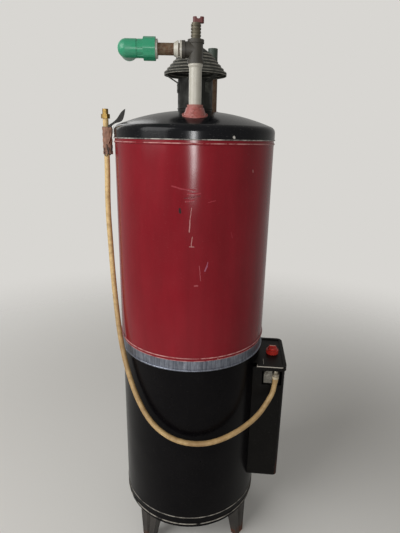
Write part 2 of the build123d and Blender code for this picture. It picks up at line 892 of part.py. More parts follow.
behind = tank_radius - lap
room_steps = (
    (lower_outer, ring_top_z),
    (band_outer + bead_radius, band_z - seat_gap),
    (upper_outer + bead_radius, upper_z - seat_gap),
)
with BuildPart() as jacket_room:
    for room_radius, room_low in room_steps:
        with BuildSketch(Plane.XY.offset(room_low)):
            Circle(room_radius + seat_gap)
        extrude(amount=rim_z - room_low)
with BuildPart() as control_cover:
    with BuildSketch(control_plane(cover_z)):
        add(cover_shape(0, cover_near, cover_far, behind))
    extrude(amount=cover_height)
    with BuildSketch(control_plane(cover_z + cover_sheet)):
        add(cover_shape(-cover_sheet, cover_near, cover_far, behind))
    extrude(amount=cover_height, mode=Mode.SUBTRACT)
    add(jacket_room.part, mode=Mode.SUBTRACT)
    with BuildSketch(control_plane(cover_top_z - notch_height)):
        with Locations((notch_near + notch_width / 2, -cover_near)):
            Rectangle(notch_width, 4 * cover_sheet)
    extrude(amount=notch_height, mode=Mode.SUBTRACT)
save(control_cover, "control_cover")

cap_near = cover_near + cap_overhang
cap_low = cap_z - cap_skirt
cap_grow = cover_sheet + seat_gap
cap_bare_out = jacket_radius - cap_bare
knob_point = (knob_out, knob_along)
with BuildPart() as control_cap:
    with BuildSketch(control_plane(cap_low)):
        add(cover_shape(cap_grow, cap_near, cover_far, behind))
    extrude(amount=cap_skirt)
    with BuildSketch(control_plane(cap_low)):
        add(cover_shape(seat_gap, cap_near, cover_far, behind))
    extrude(amount=cap_skirt - cover_sheet, mode=Mode.SUBTRACT)
    with BuildSketch(control_plane(cap_z - cap_sink - cover_sheet)):
        add(cover_shape(cover_sheet - cap_margin, cap_near, cover_far, lower_outer + cap_margin))
    extrude(amount=cap_sink + cover_sheet)
    with BuildSketch(control_plane(cap_z - cap_sink)):
        add(cover_shape(-cap_margin, cap_near, cover_far, lower_outer + cap_margin + cover_sheet))
    extrude(amount=cap_sink, mode=Mode.SUBTRACT)
    add(jacket_room.part, mode=Mode.SUBTRACT)
    with BuildSketch(control_plane(cap_low)):
        with Locations(knob_point):
            Circle(stem_hole_radius)
    extrude(amount=cap_skirt, mode=Mode.SUBTRACT)
    with BuildSketch(control_plane(cap_low)):
        with Locations((cap_bare_out / 2, -cap_near)):
            Rectangle(cap_bare_out, 2 * cap_overhang)
    extrude(amount=cap_skirt, mode=Mode.SUBTRACT)
save(control_cap, "control_cap")

# Thermostat: a die-cast body on a shank in the tank, with the gas inlet boss out through the notch
body_top_z = body_z + body_height
boss_low = cap_low - boss_height
shank_plane = Plane(origin=(0, 0, body_z + body_height / 2 - shank_drop), x_dir=(0, 0, 1), z_dir=out_dir)
with BuildPart() as thermostat_body:
    with BuildSketch(control_plane(body_z)):
        with Locations((body_near + body_width / 2, (body_front + body_back) / 2)):
            RectangleRounded(body_width, body_back - body_front, body_corner)
    extrude(amount=body_height)
    boss_face = Plane(control_plane(boss_low).origin, x_dir=out_dir, z_dir=(out_dir[1], -out_dir[0], 0))
    with BuildSketch(boss_face.offset(-body_front)) as boss_shape:
        with Locations((boss_near + boss_width / 2, boss_height / 2)):
            Rectangle(boss_width, boss_height)
        fillet(boss_shape.vertices().group_by(Axis.Z)[0].sort_by(Axis.X)[0], radius=boss_corner)
    extrude(amount=body_front - boss_front)
    with BuildSketch(boss_face.offset(-boss_front)):
        for screw_out, screw_up in boss_screws:
            with Locations((boss_near + screw_out, screw_up)):
                Circle(boss_screw_radius)
    extrude(amount=boss_screw_height)
    with BuildSketch(shank_plane.offset(tank_radius)):
        with Locations((0, door_centre)):
            Circle(shank_radius)
    extrude(amount=body_near - tank_radius + body_corner)
    with BuildSketch(control_plane(body_top_z - stem_depth)):
        with Locations(knob_point):
            Circle(stem_radius + shaft_gap)
    extrude(amount=stem_depth, mode=Mode.SUBTRACT)
save(thermostat_body, "thermostat_body")

# Knob: scalloped skirt, round grip with a raised bar, and its stem down into the thermostat
knob_z = cap_z + knob_lift - cap_sink
knob_grip_length = 2 * knob_radius - knob_grip_height
with BuildPart() as knob:
    with BuildSketch(control_plane(knob_z)):
        with Locations(knob_point):
            Circle(knob_skirt_radius)
        with Locations(knob_point):
            with PolarLocations(knob_skirt_radius, knob_scallops):
                Circle(knob_scallop_radius, mode=Mode.SUBTRACT)
    extrude(amount=knob_skirt_height)
    with BuildSketch(control_plane(knob_z)):
        with Locations(knob_point):
            Circle(knob_radius)
    extrude(amount=knob_height - knob_grip_height)
    fillet(knob.faces().sort_by(Axis.Z)[-1].edges(), radius=knob_grip_height / 2)
    with BuildSketch(control_plane(knob_z)):
        with Locations(knob_point):
            RectangleRounded(knob_grip_length, knob_grip_width, knob_grip_width / 2 - end_flat)
    extrude(amount=knob_height)
    with BuildSketch(control_plane(body_top_z - stem_depth + knob_lift)):
        with Locations(knob_point):
            Circle(stem_radius)
    extrude(amount=knob_z - body_top_z + stem_depth)
save(knob, "knob")

# Gas spigot: out of the thermostat's near face, then down into the hose
spigot_z = cap_low - seat_gap
spigot_exit = cap_low - spigot_bend - spigot_collar_height
spigot_plane = Plane(origin=(0, 0, 0), x_dir=(-out_dir[1], out_dir[0], 0), z_dir=out_dir).offset(spigot_out)
with BuildPart() as gas_spigot:
    with BuildLine(spigot_plane) as spigot_path:
        FilletPolyline(
            (body_front, spigot_z),
            (spigot_along, spigot_z),
            (spigot_along, spigot_exit),
            radius=spigot_radius + seat_gap,
        )
    with BuildSketch(Plane(origin=spigot_path.line @ 0, z_dir=spigot_path.line % 0)):
        Circle(spigot_radius)
    sweep()
    with BuildSketch(control_plane(spigot_exit)):
        with Locations((spigot_out, spigot_along)):
            Circle(spigot_collar_radius)
    extrude(amount=spigot_collar_height)
save(gas_spigot, "gas_spigot")

# Gas hose: hangs from the spigot in a loop across the front and climbs the left side to its tie.
# Each place is an angle from the front, a stand-off from the jacket and a height.
spigot_x = spigot_out * out_dir[0] - spigot_along * out_dir[1]
spigot_y = spigot_out * out_dir[1] + spigot_along * out_dir[0]
hose_places = [
    (58.0, 63.5, 542.0),
    (49.8, 49.5, 512.0),
    (37.6, 36.5, 495.0),
    (25.2, 29.5, 478.5),
    (13.2, 25.5, 468.0),
    (1.8, 23.0, 467.5),
    (-9.8, 23.0, 476.5),
    (-21.0, 22.5, 497.0),
    (-31.3, 21.0, 529.0),
    (-40.3, 19.0, 573.0),
    (-49.0, 17.0, 623.0),
    (-57.9, 16.5, 684.0),
    (-66.1, 17.5, 752.0),
    (-73.6, 19.5, 838.0),
    (-78.7, 24.0, 934.0),
    (-81.2, 27.2, 1034.0),
    (-82.9, 31.0, 1144.0),
    (-83.6, 26.0, 1268.0),
    (-83.6, 26.0, 1391.0),
]
hose_points = [(spigot_x, spigot_y, spigot_exit), (spigot_x, spigot_y, spigot_exit - hose_drop)]
for azimuth, stand_off, height in hose_places:
    hose_points.append((*azimuth_point(jacket_radius + stand_off, azimuth), height))


def corner_radii(points, share=0.45):
    """Radius of the arc at each corner of a route: as large as the shorter of its two runs allows."""
    radii = []
    for before, corner, after in zip(points, points[1:], points[2:]):
        run_in = Vector(corner) - Vector(before)
        run_out = Vector(after) - Vector(corner)
        turn = radians(run_in.get_angle(run_out))
        radii.append(share * min(run_in.length, run_out.length) / tan(turn / 2))
    return radii


hose_radii = corner_radii(hose_points)
print("hose radii", [round(radius) for radius in hose_radii])
with BuildPart() as gas_hose:
    with BuildLine():
        hose_route = FilletPolyline(*hose_points, radius=hose_radii)
    with BuildSketch(Plane(origin=hose_route @ 0, z_dir=hose_route % 0)):
        Circle(hose_radius)
    sweep()
hose_share = gas_hose.part.volume / (hose_route.length * pi * hose_radius**2)
print("hose length", round(hose_route.length), "volume share", round(hose_share, 4))
save(gas_hose, "gas_hose")

clip_share = (clip_drop + clip_width / 2) / hose_route.length
clip_centre = hose_route @ clip_share
clip_along = hose_route % clip_share
with BuildPart() as hose_clip:
    with BuildSketch(Plane(origin=clip_centre, z_dir=clip_along)):
        Circle(clip_radius)
        Circle(hose_radius + seat_gap, mode=Mode.SUBTRACT)
    extrude(amount=clip_width / 2, both=True)
save(hose_clip, "hose_clip")

hose_end = hose_route @ 1
end_plane = Plane(origin=hose_end, x_dir=(1, 0, 0), z_dir=hose_route % 1)
with BuildPart() as hose_nozzle:
    with BuildSketch(end_plane):
        RegularPolygon(nozzle_radius, 6)
    extrude(amount=nozzle_nut_height)
    with BuildSketch(end_plane.offset(nozzle_nut_height)):
        Circle(nozzle_thread_radius)
    extrude(amount=nozzle_thread_height)
    with BuildSketch(end_plane):
        Circle(nozzle_bore)
    extrude(amount=nozzle_nut_height + nozzle_thread_height, mode=Mode.SUBTRACT)
save(hose_nozzle, "hose_nozzle")

# Hook on the lid's skirt, and the rubber strip wound round the hose and the hook's tongue
hose_low = Vector(hose_points[-2])
hose_high = Vector(hose_points[-1])
hose_up = (hose_high - hose_low).normalized()
tie_middle = hose_low + hose_up * ((rim_z - tie_drop - hose_low.Z) / hose_up.Z)
tie_angle = degrees(atan2(tie_middle.Y, tie_middle.X))
tie_inward = Vector(-cos(radians(tie_angle)), -sin(radians(tie_angle)), 0)
tie_height = tie_turns * tie_turn_height
tie_plane = Plane(origin=tie_middle - hose_up * tie_height / 2, x_dir=tie_inward, z_dir=hose_up)
hook_foot = lid_radius + seat_gap
hook_tongue = hook_foot + hook_step
hook_top = rim_z - tie_drop + tie_height / 2 + 2 * hook_sheet
hook_plane = upright_plane(-tie_inward)
with BuildPart() as tie_hook:
    with BuildSketch(hook_plane):
        with BuildLine():
            Polyline(
                (hook_foot, hook_top),
                (hook_tongue + hook_sheet, hook_top),
                (hook_tongue + hook_sheet, rim_z - lid_roll),
                (hook_tongue, rim_z - lid_roll),
                (hook_tongue, hook_top - hook_sheet),
                (hook_foot + hook_sheet, hook_top - hook_sheet),
                (hook_foot + hook_sheet, rim_z + hook_rise),
                (hook_foot, rim_z + hook_rise),
                close=True,
            )
        make_face()
    extrude(amount=hook_width / 2, both=True)
save(tie_hook, "tie_hook")

slot_at = Vector(tie_middle.X, tie_middle.Y, 0).length - hook_tongue - hook_sheet / 2
blade_upper = [(7, 34), (15, 38.5), (34, 53.5), (44.5, 68), (58, 79)]
blade_lower = [(58, 79), (54, 60), (46.5, 46.5), (31, 41), (17, 31), (12, 20)]
with BuildPart() as hose_tie:
    for turn in range(tie_turns):
        ridge = tie_ridge * (turn % 2)
        with BuildSketch(tie_plane.offset(turn * tie_turn_height)):
            with Locations((tie_depth / 2, 0)):
                SlotCenterToCenter(tie_depth, 2 * (tie_radius - ridge))
        extrude(amount=tie_turn_height)
    with BuildSketch(Plane.XZ.offset(blade_side - tie_middle.Y)):
        with BuildLine():
            Spline(*[(tie_middle.X + along, rim_z + up) for along, up in blade_upper])
            Spline(*[(tie_middle.X + along, rim_z + up) for along, up in blade_lower])
            Line(
                (tie_middle.X + blade_lower[-1][0], rim_z + blade_lower[-1][1]),
                (tie_middle.X + blade_upper[0][0], rim_z + blade_upper[0][1]),
            )
        make_face()
    extrude(amount=blade_sheet / 2, both=True)
    with BuildSketch(tie_plane):
        Circle(hose_radius + seat_gap)
        with Locations((slot_at, 0)):
            Rectangle(hook_slot, hook_width + 2 * seat_gap)
    extrude(amount=tie_height, mode=Mode.SUBTRACT)
save(hose_tie, "hose_tie")

print("tie middle", tie_middle, "hose end", hose_end, "lid radius", lid_radius)
print("rim", rim_z, "crown", crown_z, "cap", cap_z, "hood", hood_z, "shoulder", knuckle_z)
print("cover top", cover_top_z, "spigot", spigot_x, spigot_y, spigot_exit, "tongue", hook_tongue)
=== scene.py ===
"""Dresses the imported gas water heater: camera, hose, finishes, wear and small hardware."""

from __future__ import annotations

import logging
import math
from dataclasses import dataclass, replace
from enum import Enum
from typing import Mapping, Sequence, Union

import bmesh
import bpy
from mathutils import Matrix, Vector

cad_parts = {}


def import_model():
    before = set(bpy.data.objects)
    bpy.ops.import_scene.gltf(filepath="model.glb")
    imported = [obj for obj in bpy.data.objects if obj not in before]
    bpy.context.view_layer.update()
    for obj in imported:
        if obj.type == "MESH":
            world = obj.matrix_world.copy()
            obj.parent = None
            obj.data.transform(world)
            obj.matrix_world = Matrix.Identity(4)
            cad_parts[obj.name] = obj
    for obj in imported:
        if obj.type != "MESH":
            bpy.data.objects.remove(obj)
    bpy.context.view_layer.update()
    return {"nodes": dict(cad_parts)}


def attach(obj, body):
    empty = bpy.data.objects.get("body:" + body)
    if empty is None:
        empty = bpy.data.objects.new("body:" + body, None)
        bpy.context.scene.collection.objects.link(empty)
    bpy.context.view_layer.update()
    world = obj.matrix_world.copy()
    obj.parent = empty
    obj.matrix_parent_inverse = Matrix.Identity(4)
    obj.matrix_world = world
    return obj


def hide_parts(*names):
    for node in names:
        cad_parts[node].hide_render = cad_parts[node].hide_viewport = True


LOG = logging.getLogger("heater")
MM = 0.001
# The upper jacket's radius in metres, and how far the edge of a painted highlight line fades.
JACKET_RADIUS = 0.2316
PAINTED_HIGHLIGHT_EDGE = 0.0007
# Higher than anything here, in metres: the top of a band of height that has none.
OUT_OF_REACH = 9.0

Point = tuple[float, float, float]
Colour = tuple[float, float, float, float]
Bands = tuple[tuple[float, float], ...]
Node = bpy.types.Node
Socket = bpy.types.NodeSocket
Tree = bpy.types.ShaderNodeTree
Value = Union[Socket, float, Sequence[float]]


class Body(Enum):
    """The CAD bodies that a new piece can ride on."""

    HEATER = "heater"
    KNOB = "knob"


# Shading


def linear(hex_colour: str) -> Colour:
    """Turns an sRGB hex value to the linear colour that shaders take.

    Args:
        hex_colour: Six hex digits with a leading hash.

    Returns:
        Linear red, green, blue and an alpha of 1.
    """
    parts = [int(hex_colour[i : i + 2], 16) / 255 for i in (1, 3, 5)]
    red, green, blue = (c / 12.92 if c <= 0.04045 else ((c + 0.055) / 1.055) ** 2.4 for c in parts)
    return (red, green, blue, 1.0)


def per_mm(size: float) -> float:
    """Returns the texture scale that gives features of this size in millimetres."""
    return 1000.0 / size


def add_node(
    tree: Tree, kind: str, inputs: Mapping[Union[str, int], Value] | None = None, **settings: object
) -> Node:
    """Adds a shader node with its settings, socket values and links.

    Args:
        tree: The material's or world's node tree.
        kind: The node's type name, without the ShaderNode that all begin with.
        inputs: Socket name or index, with a value or another node's output.
        settings: Properties to set on the node.

    Returns:
        The new node.
    """
    node = tree.nodes.new("ShaderNode" + kind)
    for name, setting in settings.items():
        setattr(node, name, setting)
    for key, value in (inputs or {}).items():
        if isinstance(value, Socket):
            tree.links.new(value, node.inputs[key])
        else:
            node.inputs[key].default_value = value
    return node


@dataclass(frozen=True)
class Mask:
    """A share from 0 to 1 at each point of a surface, which combines with others like a number."""

    tree: Tree
    socket: Socket

    def combined(self, operation: str, other: Mask | float) -> Mask:
        """Combines this mask with a number or another mask, and keeps the result from 0 to 1.

        Args:
            operation: The sum that is done, by the shader's name for it.
            other: The number or the other mask.

        Returns:
            The new mask.
        """
        inputs = {0: self.socket, 1: other.socket if isinstance(other, Mask) else other}
        node = add_node(self.tree, "Math", inputs, operation=operation, use_clamp=True)
        return Mask(self.tree, node.outputs[0])

    def __mul__(self, other: Mask | float) -> Mask:
        """Returns the product, such as what two masks both cover."""
        return self.combined("MULTIPLY", other)

    def __add__(self, other: Mask | float) -> Mask:
        """Returns the sum."""
        return self.combined("ADD", other)

    def __or__(self, other: Mask) -> Mask:
        """Returns the greater share."""
        return self.combined("MAXIMUM", other)


@dataclass(frozen=True)
class Stroke:
    """One short line on the surface, with its half width in metres; scratches, chips, painted highlights
    and painted shade all use it.
    """

    start: Point
    end: Point
    half_width: float


@dataclass(frozen=True)
class Marks:
    """Lines of one colour, with how far their edges wander, in metres: scratches, chips, painted
    highlights and painted shade.
    """

    colour: str
    strokes: tuple[Stroke, ...]
    ragged: float = 0.004


@dataclass(frozen=True)
class Coat:
    """The nodes of one material: its shader, and the shaded point in metres in the row frame."""

    tree: Tree
    shader: Node
    point: Socket

    def patches(
        self, size: float, share: float, soft: float, stretch: Point = (1.0, 1.0, 1.0)
    ) -> Mask:
        """Makes irregular patches from layered noise.

        Args:
            size: Typical patch size in millimetres.
            share: Rough share of the surface that is covered, from 0 to 1.
            soft: Half width of the patches' edges, in noise units.
            stretch: Factor for each axis: below 1 it draws the patches out to streaks.

        Returns:
            A mask, 1 inside the patches.
        """
        place = add_node(self.tree, "VectorMath", {0: self.point, 1: stretch}, operation="MULTIPLY")
        inputs = {"Vector": place.outputs[0], "Scale": per_mm(size), "Detail": 6.0, "Roughness": 0.62}
        noise = add_node(self.tree, "TexNoise", inputs)
        # Nearly all of this noise lies from 0.32 to 0.68, so the edge moves between them.
        edge = 0.68 - 0.36 * share
        mask = add_node(self.tree, "MapRange", {0: noise.outputs[0], 1: edge - soft, 2: edge + soft})
        return Mask(self.tree, mask.outputs[0])

    def height_band(self, low: float, high: float, soft: float) -> Mask:
        """Makes a mask that is 1 between two heights.

        Args:
            low: Lower height in metres.
            high: Upper height in metres.
            soft: Width of each fading edge in metres.

        Returns:
            The mask.
        """
        z = add_node(self.tree, "SeparateXYZ", {0: self.point}).outputs[2]
        rise = add_node(self.tree, "MapRange", {0: z, 1: low - soft, 2: low})
        fall = add_node(self.tree, "MapRange", {0: z, 1: high, 2: high + soft, 3: 1.0, 4: 0.0})
        return Mask(self.tree, rise.outputs[0]) * Mask(self.tree, fall.outputs[0])

    def facing_up(self) -> Mask:
        """Finds what looks more than 20 degrees upwards, where dust settles.

        Returns:
            A mask, 1 on what lies level.
        """
        normal = add_node(self.tree, "NewGeometry").outputs["Normal"]
        z = add_node(self.tree, "SeparateXYZ", {0: normal}).outputs[2]
        return Mask(self.tree, add_node(self.tree, "MapRange", {0: z, 1: 0.35, 2: 1.0}).outputs[0])

    def stroked(self, marks: Marks) -> Mask:
        """Draws the marks' lines at set places, with ragged edges: scratches and chips, and painted
        highlights and shade.

        Args:
            marks: The lines.

        Returns:
            A mask, 1 on the lines.
        """
        tree = self.tree
        inputs = {"Vector": self.point, "Scale": per_mm(9), "Detail": 4.0, "Roughness": 0.7}
        wander = add_node(tree, "TexNoise", inputs).outputs[1]
        # The noise averages a half, so strokes start half the ragged width further along each axis.
        ragged = Vector((marks.ragged,) * 3)
        inputs = {0: wander, 1: ragged, 2: self.point}
        moved = add_node(tree, "VectorMath", inputs, operation="MULTIPLY_ADD").outputs[0]
        # Distance to the nearest stroke's middle line, in half widths: far off to begin with.
        nearest: Value = 9.0
        for stroke in marks.strokes:
            axis = Vector(stroke.end) - Vector(stroke.start)
            inputs = {0: moved, 1: Vector(stroke.start) + ragged / 2}
            reach = add_node(tree, "VectorMath", inputs, operation="SUBTRACT").outputs[0]
            inputs = {0: reach, 1: tuple(axis / axis.length_squared)}
            along = add_node(tree, "VectorMath", inputs, operation="DOT_PRODUCT").outputs["Value"]
            inputs = {0: tuple(axis), "Scale": (Mask(tree, along) * 1.0).socket}
            foot = add_node(tree, "VectorMath", inputs, operation="SCALE").outputs[0]
            gap = add_node(tree, "VectorMath", {0: reach, 1: foot}, operation="DISTANCE")
            inputs = {0: gap.outputs["Value"], 1: stroke.half_width}
            ratio = add_node(tree, "Math", inputs, operation="DIVIDE").outputs[0]
            nearest = add_node(tree, "Math", {0: ratio, 1: nearest}, operation="MINIMUM").outputs[0]
        edge = add_node(tree, "MapRange", {0: nearest, 1: 0.6, 2: 1.1, 3: 1.0, 4: 0.0})
        return Mask(tree, edge.outputs[0])

    def lay(
        self,
        base: str,
        layers: Sequence[tuple[Mask, str]],
        rough: Mask,
        height: Socket,
        depth: float,
        fixed: Mapping[str, float] | None = None,
    ) -> None:
        """Links the layered colour, the roughness and the relief to the shader.

        Args:
            base: The ground colour.
            layers: Masks, each with the colour that it lays over what is below.
            rough: The roughness.
            height: Height of the relief, from 0 to 1.
            depth: The relief's real depth in metres.
            fixed: Shader values that are the same all over.
        """
        colour: Value = linear(base)
        for mask, tint in layers:
            inputs = {0: mask.socket, 6: colour, 7: linear(tint)}
            colour = add_node(self.tree, "Mix", inputs, data_type="RGBA").outputs[2]
        bump = add_node(self.tree, "Bump", {"Height": height, "Strength": 1.0, "Distance": depth})
        linked = {"Base Color": colour, "Roughness": rough.socket, "Normal": bump.outputs[0]}
        for name, socket in linked.items():
            self.tree.links.new(socket, self.shader.inputs[name])
        for name, value in (fixed or {}).items():
            self.shader.inputs[name].default_value = value


# Finishes


@dataclass(frozen=True)
class Finish:
    """One finish of the heater: a named procedural material."""

    name: str

    def material(self) -> bpy.types.Material:
        """Builds the material at its first use, and finds it by its name after that.

        Returns:
            The material.
        """
        made = bpy.data.materials.get(self.name)
        if made is None:
            made = bpy.data.materials.new(self.name)
            made.use_nodes = True
            tree = made.node_tree
            tree.nodes.clear()
            shader = add_node(tree, "BsdfPrincipled")
            add_node(tree, "OutputMaterial", {"Surface": shader.outputs[0]})
            # Every piece's object sits at the origin, so its own frame is the row frame.
            self.dress(Coat(tree, shader, add_node(tree, "TexCoord").outputs["Object"]))
        return made

    def dress(self, coat: Coat) -> None:
        """Lays this finish's colours, roughness and relief."""
        raise NotImplementedError


@dataclass(frozen=True)
class Enamel(Finish):
    """Gloss enamel sprayed on sheet steel: an even colour with a clear shine, dust, spots of wear and
    painted highlight lines.
    """

    colour: str
    shade: str
    dust: str
    bare_and_highlight: str
    roughness: float = 0.26
    dust_share: float = 0.25
    up_dust: float = 0.35
    wear_share: float = 0.05
    marks: tuple[Marks, ...] = ()
    painted_highlight_heights: Bands = ()
    rust_below: float = 0.0
    shine: float = 0.5
    wave_depth: float = 0.0035

    def dress(self, coat: Coat) -> None:
        """Lays shade, dust, wear and painted highlights over the enamel's colour.

        Args:
            coat: The material's nodes.
        """
        # Hands and cloths leave tall faint streaks, about 60 mm wide, on an upright jacket.
        streak = coat.patches(60, 0.5, 0.2, (1.0, 1.0, 0.18))
        # Dust films in patches of some 90 mm, and thicker on what looks up.
        film = coat.patches(90, 0.5, 0.22) * self.dust_share
        dusty = film + coat.facing_up() * self.up_dust * coat.patches(25, 0.75, 0.25)
        # Fine flat scuffs, some 7 mm long, where things brush past.
        wear_and_painted_light = coat.patches(7, 0.06, 0.03, (1.0, 1.0, 3.0)) * (self.wear_share * 8)
        # Painted highlights: crests of rolled beads get a thin broken pale line, a millimetre or two
        # high, where they catch the light.
        for low, high in self.painted_highlight_heights:
            wear_and_painted_light = wear_and_painted_light | coat.height_band(low, high, PAINTED_HIGHLIGHT_EDGE) * coat.patches(22, 0.6, 0.12)
        layers = [(streak, self.shade), (dusty, self.dust), (wear_and_painted_light, self.bare_and_highlight)]
        # Listed marks: scratches and chips, and on some finishes painted highlight and painted shade
        # lines.
        for mark in self.marks:
            marked = coat.stroked(mark)
            layers.append((marked, mark.colour))
            wear_and_painted_light = wear_and_painted_light | marked
        if self.rust_below > 0:
            rust = coat.height_band(-0.01, self.rust_below, 0.03) * coat.patches(12, 0.5, 0.06)
            layers.append((rust, "#5A3320"))
            wear_and_painted_light = wear_and_painted_light | rust
        rough = dusty * 0.45 + self.roughness + wear_and_painted_light * 0.35
        # Rolled sheet is never flat: waves some 150 mm long, shallow next to their length.
        inputs = {"Vector": coat.point, "Scale": per_mm(150), "Detail": 1.0, "Roughness": 0.3}
        height = add_node(coat.tree, "TexNoise", inputs).outputs[0]
        # Orange peel of sprayed paint, drawn at 3 mm to show in the render.
        inputs = {"Vector": coat.point, "Scale": per_mm(3), "Detail": 1.0}
        peel = add_node(coat.tree, "TexNoise", inputs).outputs[0]
        # Worn spots lie lower, by the paint that is gone, and the painted highlight and shade lines in
        # the same mask lie lower with them.
        for part, share in ((peel, 0.012), (wear_and_painted_light.socket, -0.02)):
            inputs = {0: part, 1: share, 2: height}
            height = add_node(coat.tree, "Math", inputs, operation="MULTIPLY_ADD").outputs[0]
        fixed = {"IOR": 1.5, "Specular IOR Level": self.shine}
        coat.lay(self.colour, layers, rough, height, self.wave_depth, fixed)


@dataclass(frozen=True)
class SheetMetal(Finish):
    """Bare or zinc-coated sheet: a metal with streaks, spangle and dulled patches."""

    colour: str
    dull: str
    grime: str
    roughness: float = 0.38
    metallic: float = 0.85
    spangle: float = 9.0
    streak: Point = (1.0, 1.0, 0.08)
    streak_size: float = 6.0
    grime_share: float = 0.3
    relief_depth: float = 0.0002
    # Colour of the painted highlight lines at the listed heights.
    bare_and_highlight: str = "#8E8B81"
    painted_highlight_heights: Bands = ()

    def dress(self, coat: Coat) -> None:
        """Lays streaks, spangle, dirt and painted highlight lines over the metal's colour.

        Args:
            coat: The material's nodes.
        """
        lines = coat.patches(self.streak_size, 0.5, 0.16, self.streak)
        # The coating's crystals differ a little in tone.
        inputs = {"Vector": coat.point, "Scale": per_mm(self.spangle), "Randomness": 1.0}
        crystals = add_node(coat.tree, "TexVoronoi", inputs).outputs["Color"]
        tone = Mask(coat.tree, add_node(coat.tree, "SeparateColor", {0: crystals}).outputs[0])
        dirt = coat.patches(28, 0.5, 0.14) * self.grime_share
        layers = [(lines, self.dull), (tone * 0.35, self.dull), (dirt, self.grime)]
        # Painted highlights: outer corners of pressed steps get a pale broken line some 3 mm high, where
        # they catch the light.
        for low, high in self.painted_highlight_heights:
            painted_highlight = coat.height_band(low, high, PAINTED_HIGHLIGHT_EDGE) * coat.patches(14, 0.7, 0.15)
            layers.append((painted_highlight, self.bare_and_highlight))
        rough = lines * 0.12 + self.roughness + dirt * 0.5
        fixed = {"Metallic": self.metallic}
        coat.lay(self.colour, layers, rough, (lines + dirt).socket, self.relief_depth, fixed)


@dataclass(frozen=True)
class CastMetal(Finish):
    """Die-cast or sand-cast metal: a grainy skin with a soft sheen and dirt in its hollows."""

    colour: str
    grime: str
    roughness: float = 0.5
    metallic: float = 0.9
    grain: float = 1.6
    grain_depth: float = 0.00025
    painted_shade_axis: Point = (0.0, 0.0, 0.0)
    painted_shade_below: float = 0.0

    def dress(self, coat: Coat) -> None:
        """Lays dirt over the casting's colour, and painted shade past a plane, where the casting lies in
        shadow.

        Args:
            coat: The material's nodes.
        """
        tree = coat.tree
        dirt = coat.patches(10, 0.5, 0.15) * 0.6
        layers = [(dirt, self.grime)]
        if self.painted_shade_below:
            # Painted shade: past this plane the casting is painted near black, where it lies in shadow.
            inputs = {0: coat.point, 1: self.painted_shade_axis}
            reach = add_node(tree, "VectorMath", inputs, operation="DOT_PRODUCT").outputs["Value"]
            behind = add_node(tree, "Math", {0: reach, 1: self.painted_shade_below}, operation="LESS_THAN")
            layers.append((Mask(tree, behind.outputs[0]), "#14120F"))
        inputs = {"Vector": coat.point, "Scale": per_mm(self.grain), "Detail": 3.0}
        grain = add_node(tree, "TexNoise", inputs).outputs[0]
        rough = dirt * 0.3 + self.roughness
        coat.lay(self.colour, layers, rough, grain, self.grain_depth, {"Metallic": self.metallic})


@dataclass(frozen=True)
class RustySteel(Finish):
    """Steel or primer under rust: flaking brown and orange patches with no shine."""

    colour: str
    rust: str
    bright: str
    rust_share: float = 0.5
    roughness: float = 0.8

    def dress(self, coat: Coat) -> None:
        """Lays rust in crusts of some 9 mm, with brighter spots in them.

        Args:
            coat: The material's nodes.
        """
        crust = coat.patches(9, self.rust_share, 0.08)
        layers = [(crust, self.rust), (coat.patches(4, 0.3, 0.08) * crust, self.bright)]
        inputs = {"Vector": coat.point, "Scale": per_mm(2.5), "Detail": 5.0, "Roughness": 0.7}
        grain = Mask(coat.tree, add_node(coat.tree, "TexNoise", inputs).outputs[0])
        rough = crust * 0.2 + (self.roughness - 0.15)
        coat.lay(self.colour, layers, rough, (grain + crust * 0.3).socket, 0.0006)


@dataclass(frozen=True)
class MouldedPlastic(Finish):
    """Injection-moulded or extruded plastic: an even colour, a soft shine and handling dirt."""

    colour: str
    grime: str
    roughness: float = 0.38
    grime_share: float = 0.35
    up_dust: float = 0.3

    def dress(self, coat: Coat) -> None:
        """Lays dirt in patches of some 18 mm, and on what looks up.

        Args:
            coat: The material's nodes.
        """
        dirt = coat.patches(18, 0.5, 0.16) * self.grime_share + coat.facing_up() * self.up_dust
        # Moulding texture, drawn at 1.5 mm to show in the render.
        inputs = {"Vector": coat.point, "Scale": per_mm(1.5), "Detail": 2.0}
        grain = add_node(coat.tree, "TexNoise", inputs).outputs[0]
        rough = dirt * 0.4 + self.roughness
        coat.lay(self.colour, [(dirt, self.grime)], rough, grain, 0.00008, {"IOR": 1.5})


@dataclass(frozen=True)
class HoseRubber(Finish):
    """Extruded gas-hose rubber: tan, sun-paled in patches, darker with grime where it hangs, and painted
    paler high up: painted light.
    """

    colour: str
    bleach_and_light: str
    grime: str
    roughness: float = 0.5
    painted_light_above: float = OUT_OF_REACH
    black_above: float = OUT_OF_REACH

    def dress(self, coat: Coat) -> None:
        """Lays sun-paled patches and dirt over the rubber, painted light above a height, and black on
        the upper cut end.

        Args:
            coat: The material's nodes.
        """
        # Painted light: above this height the rubber is painted paler, where the light falls brighter on
        # the hose.
        lit = coat.height_band(self.painted_light_above, self.painted_light_above + OUT_OF_REACH, 0.25)
        pale = coat.patches(45, 0.5, 0.2) * 0.5 | lit * 0.85
        dirt = coat.patches(14, 0.35, 0.12) * 0.5
        cut_end = coat.height_band(self.black_above, self.black_above + OUT_OF_REACH, 0.002)
        layers = [(pale, self.bleach_and_light), (dirt, self.grime), (cut_end, "#17140F")]
        inputs = {"Vector": coat.point, "Scale": per_mm(2), "Detail": 3.0}
        grain = add_node(coat.tree, "TexNoise", inputs).outputs[0]
        coat.lay(self.colour, layers, dirt * 0.3 + self.roughness, grain, 0.00012)


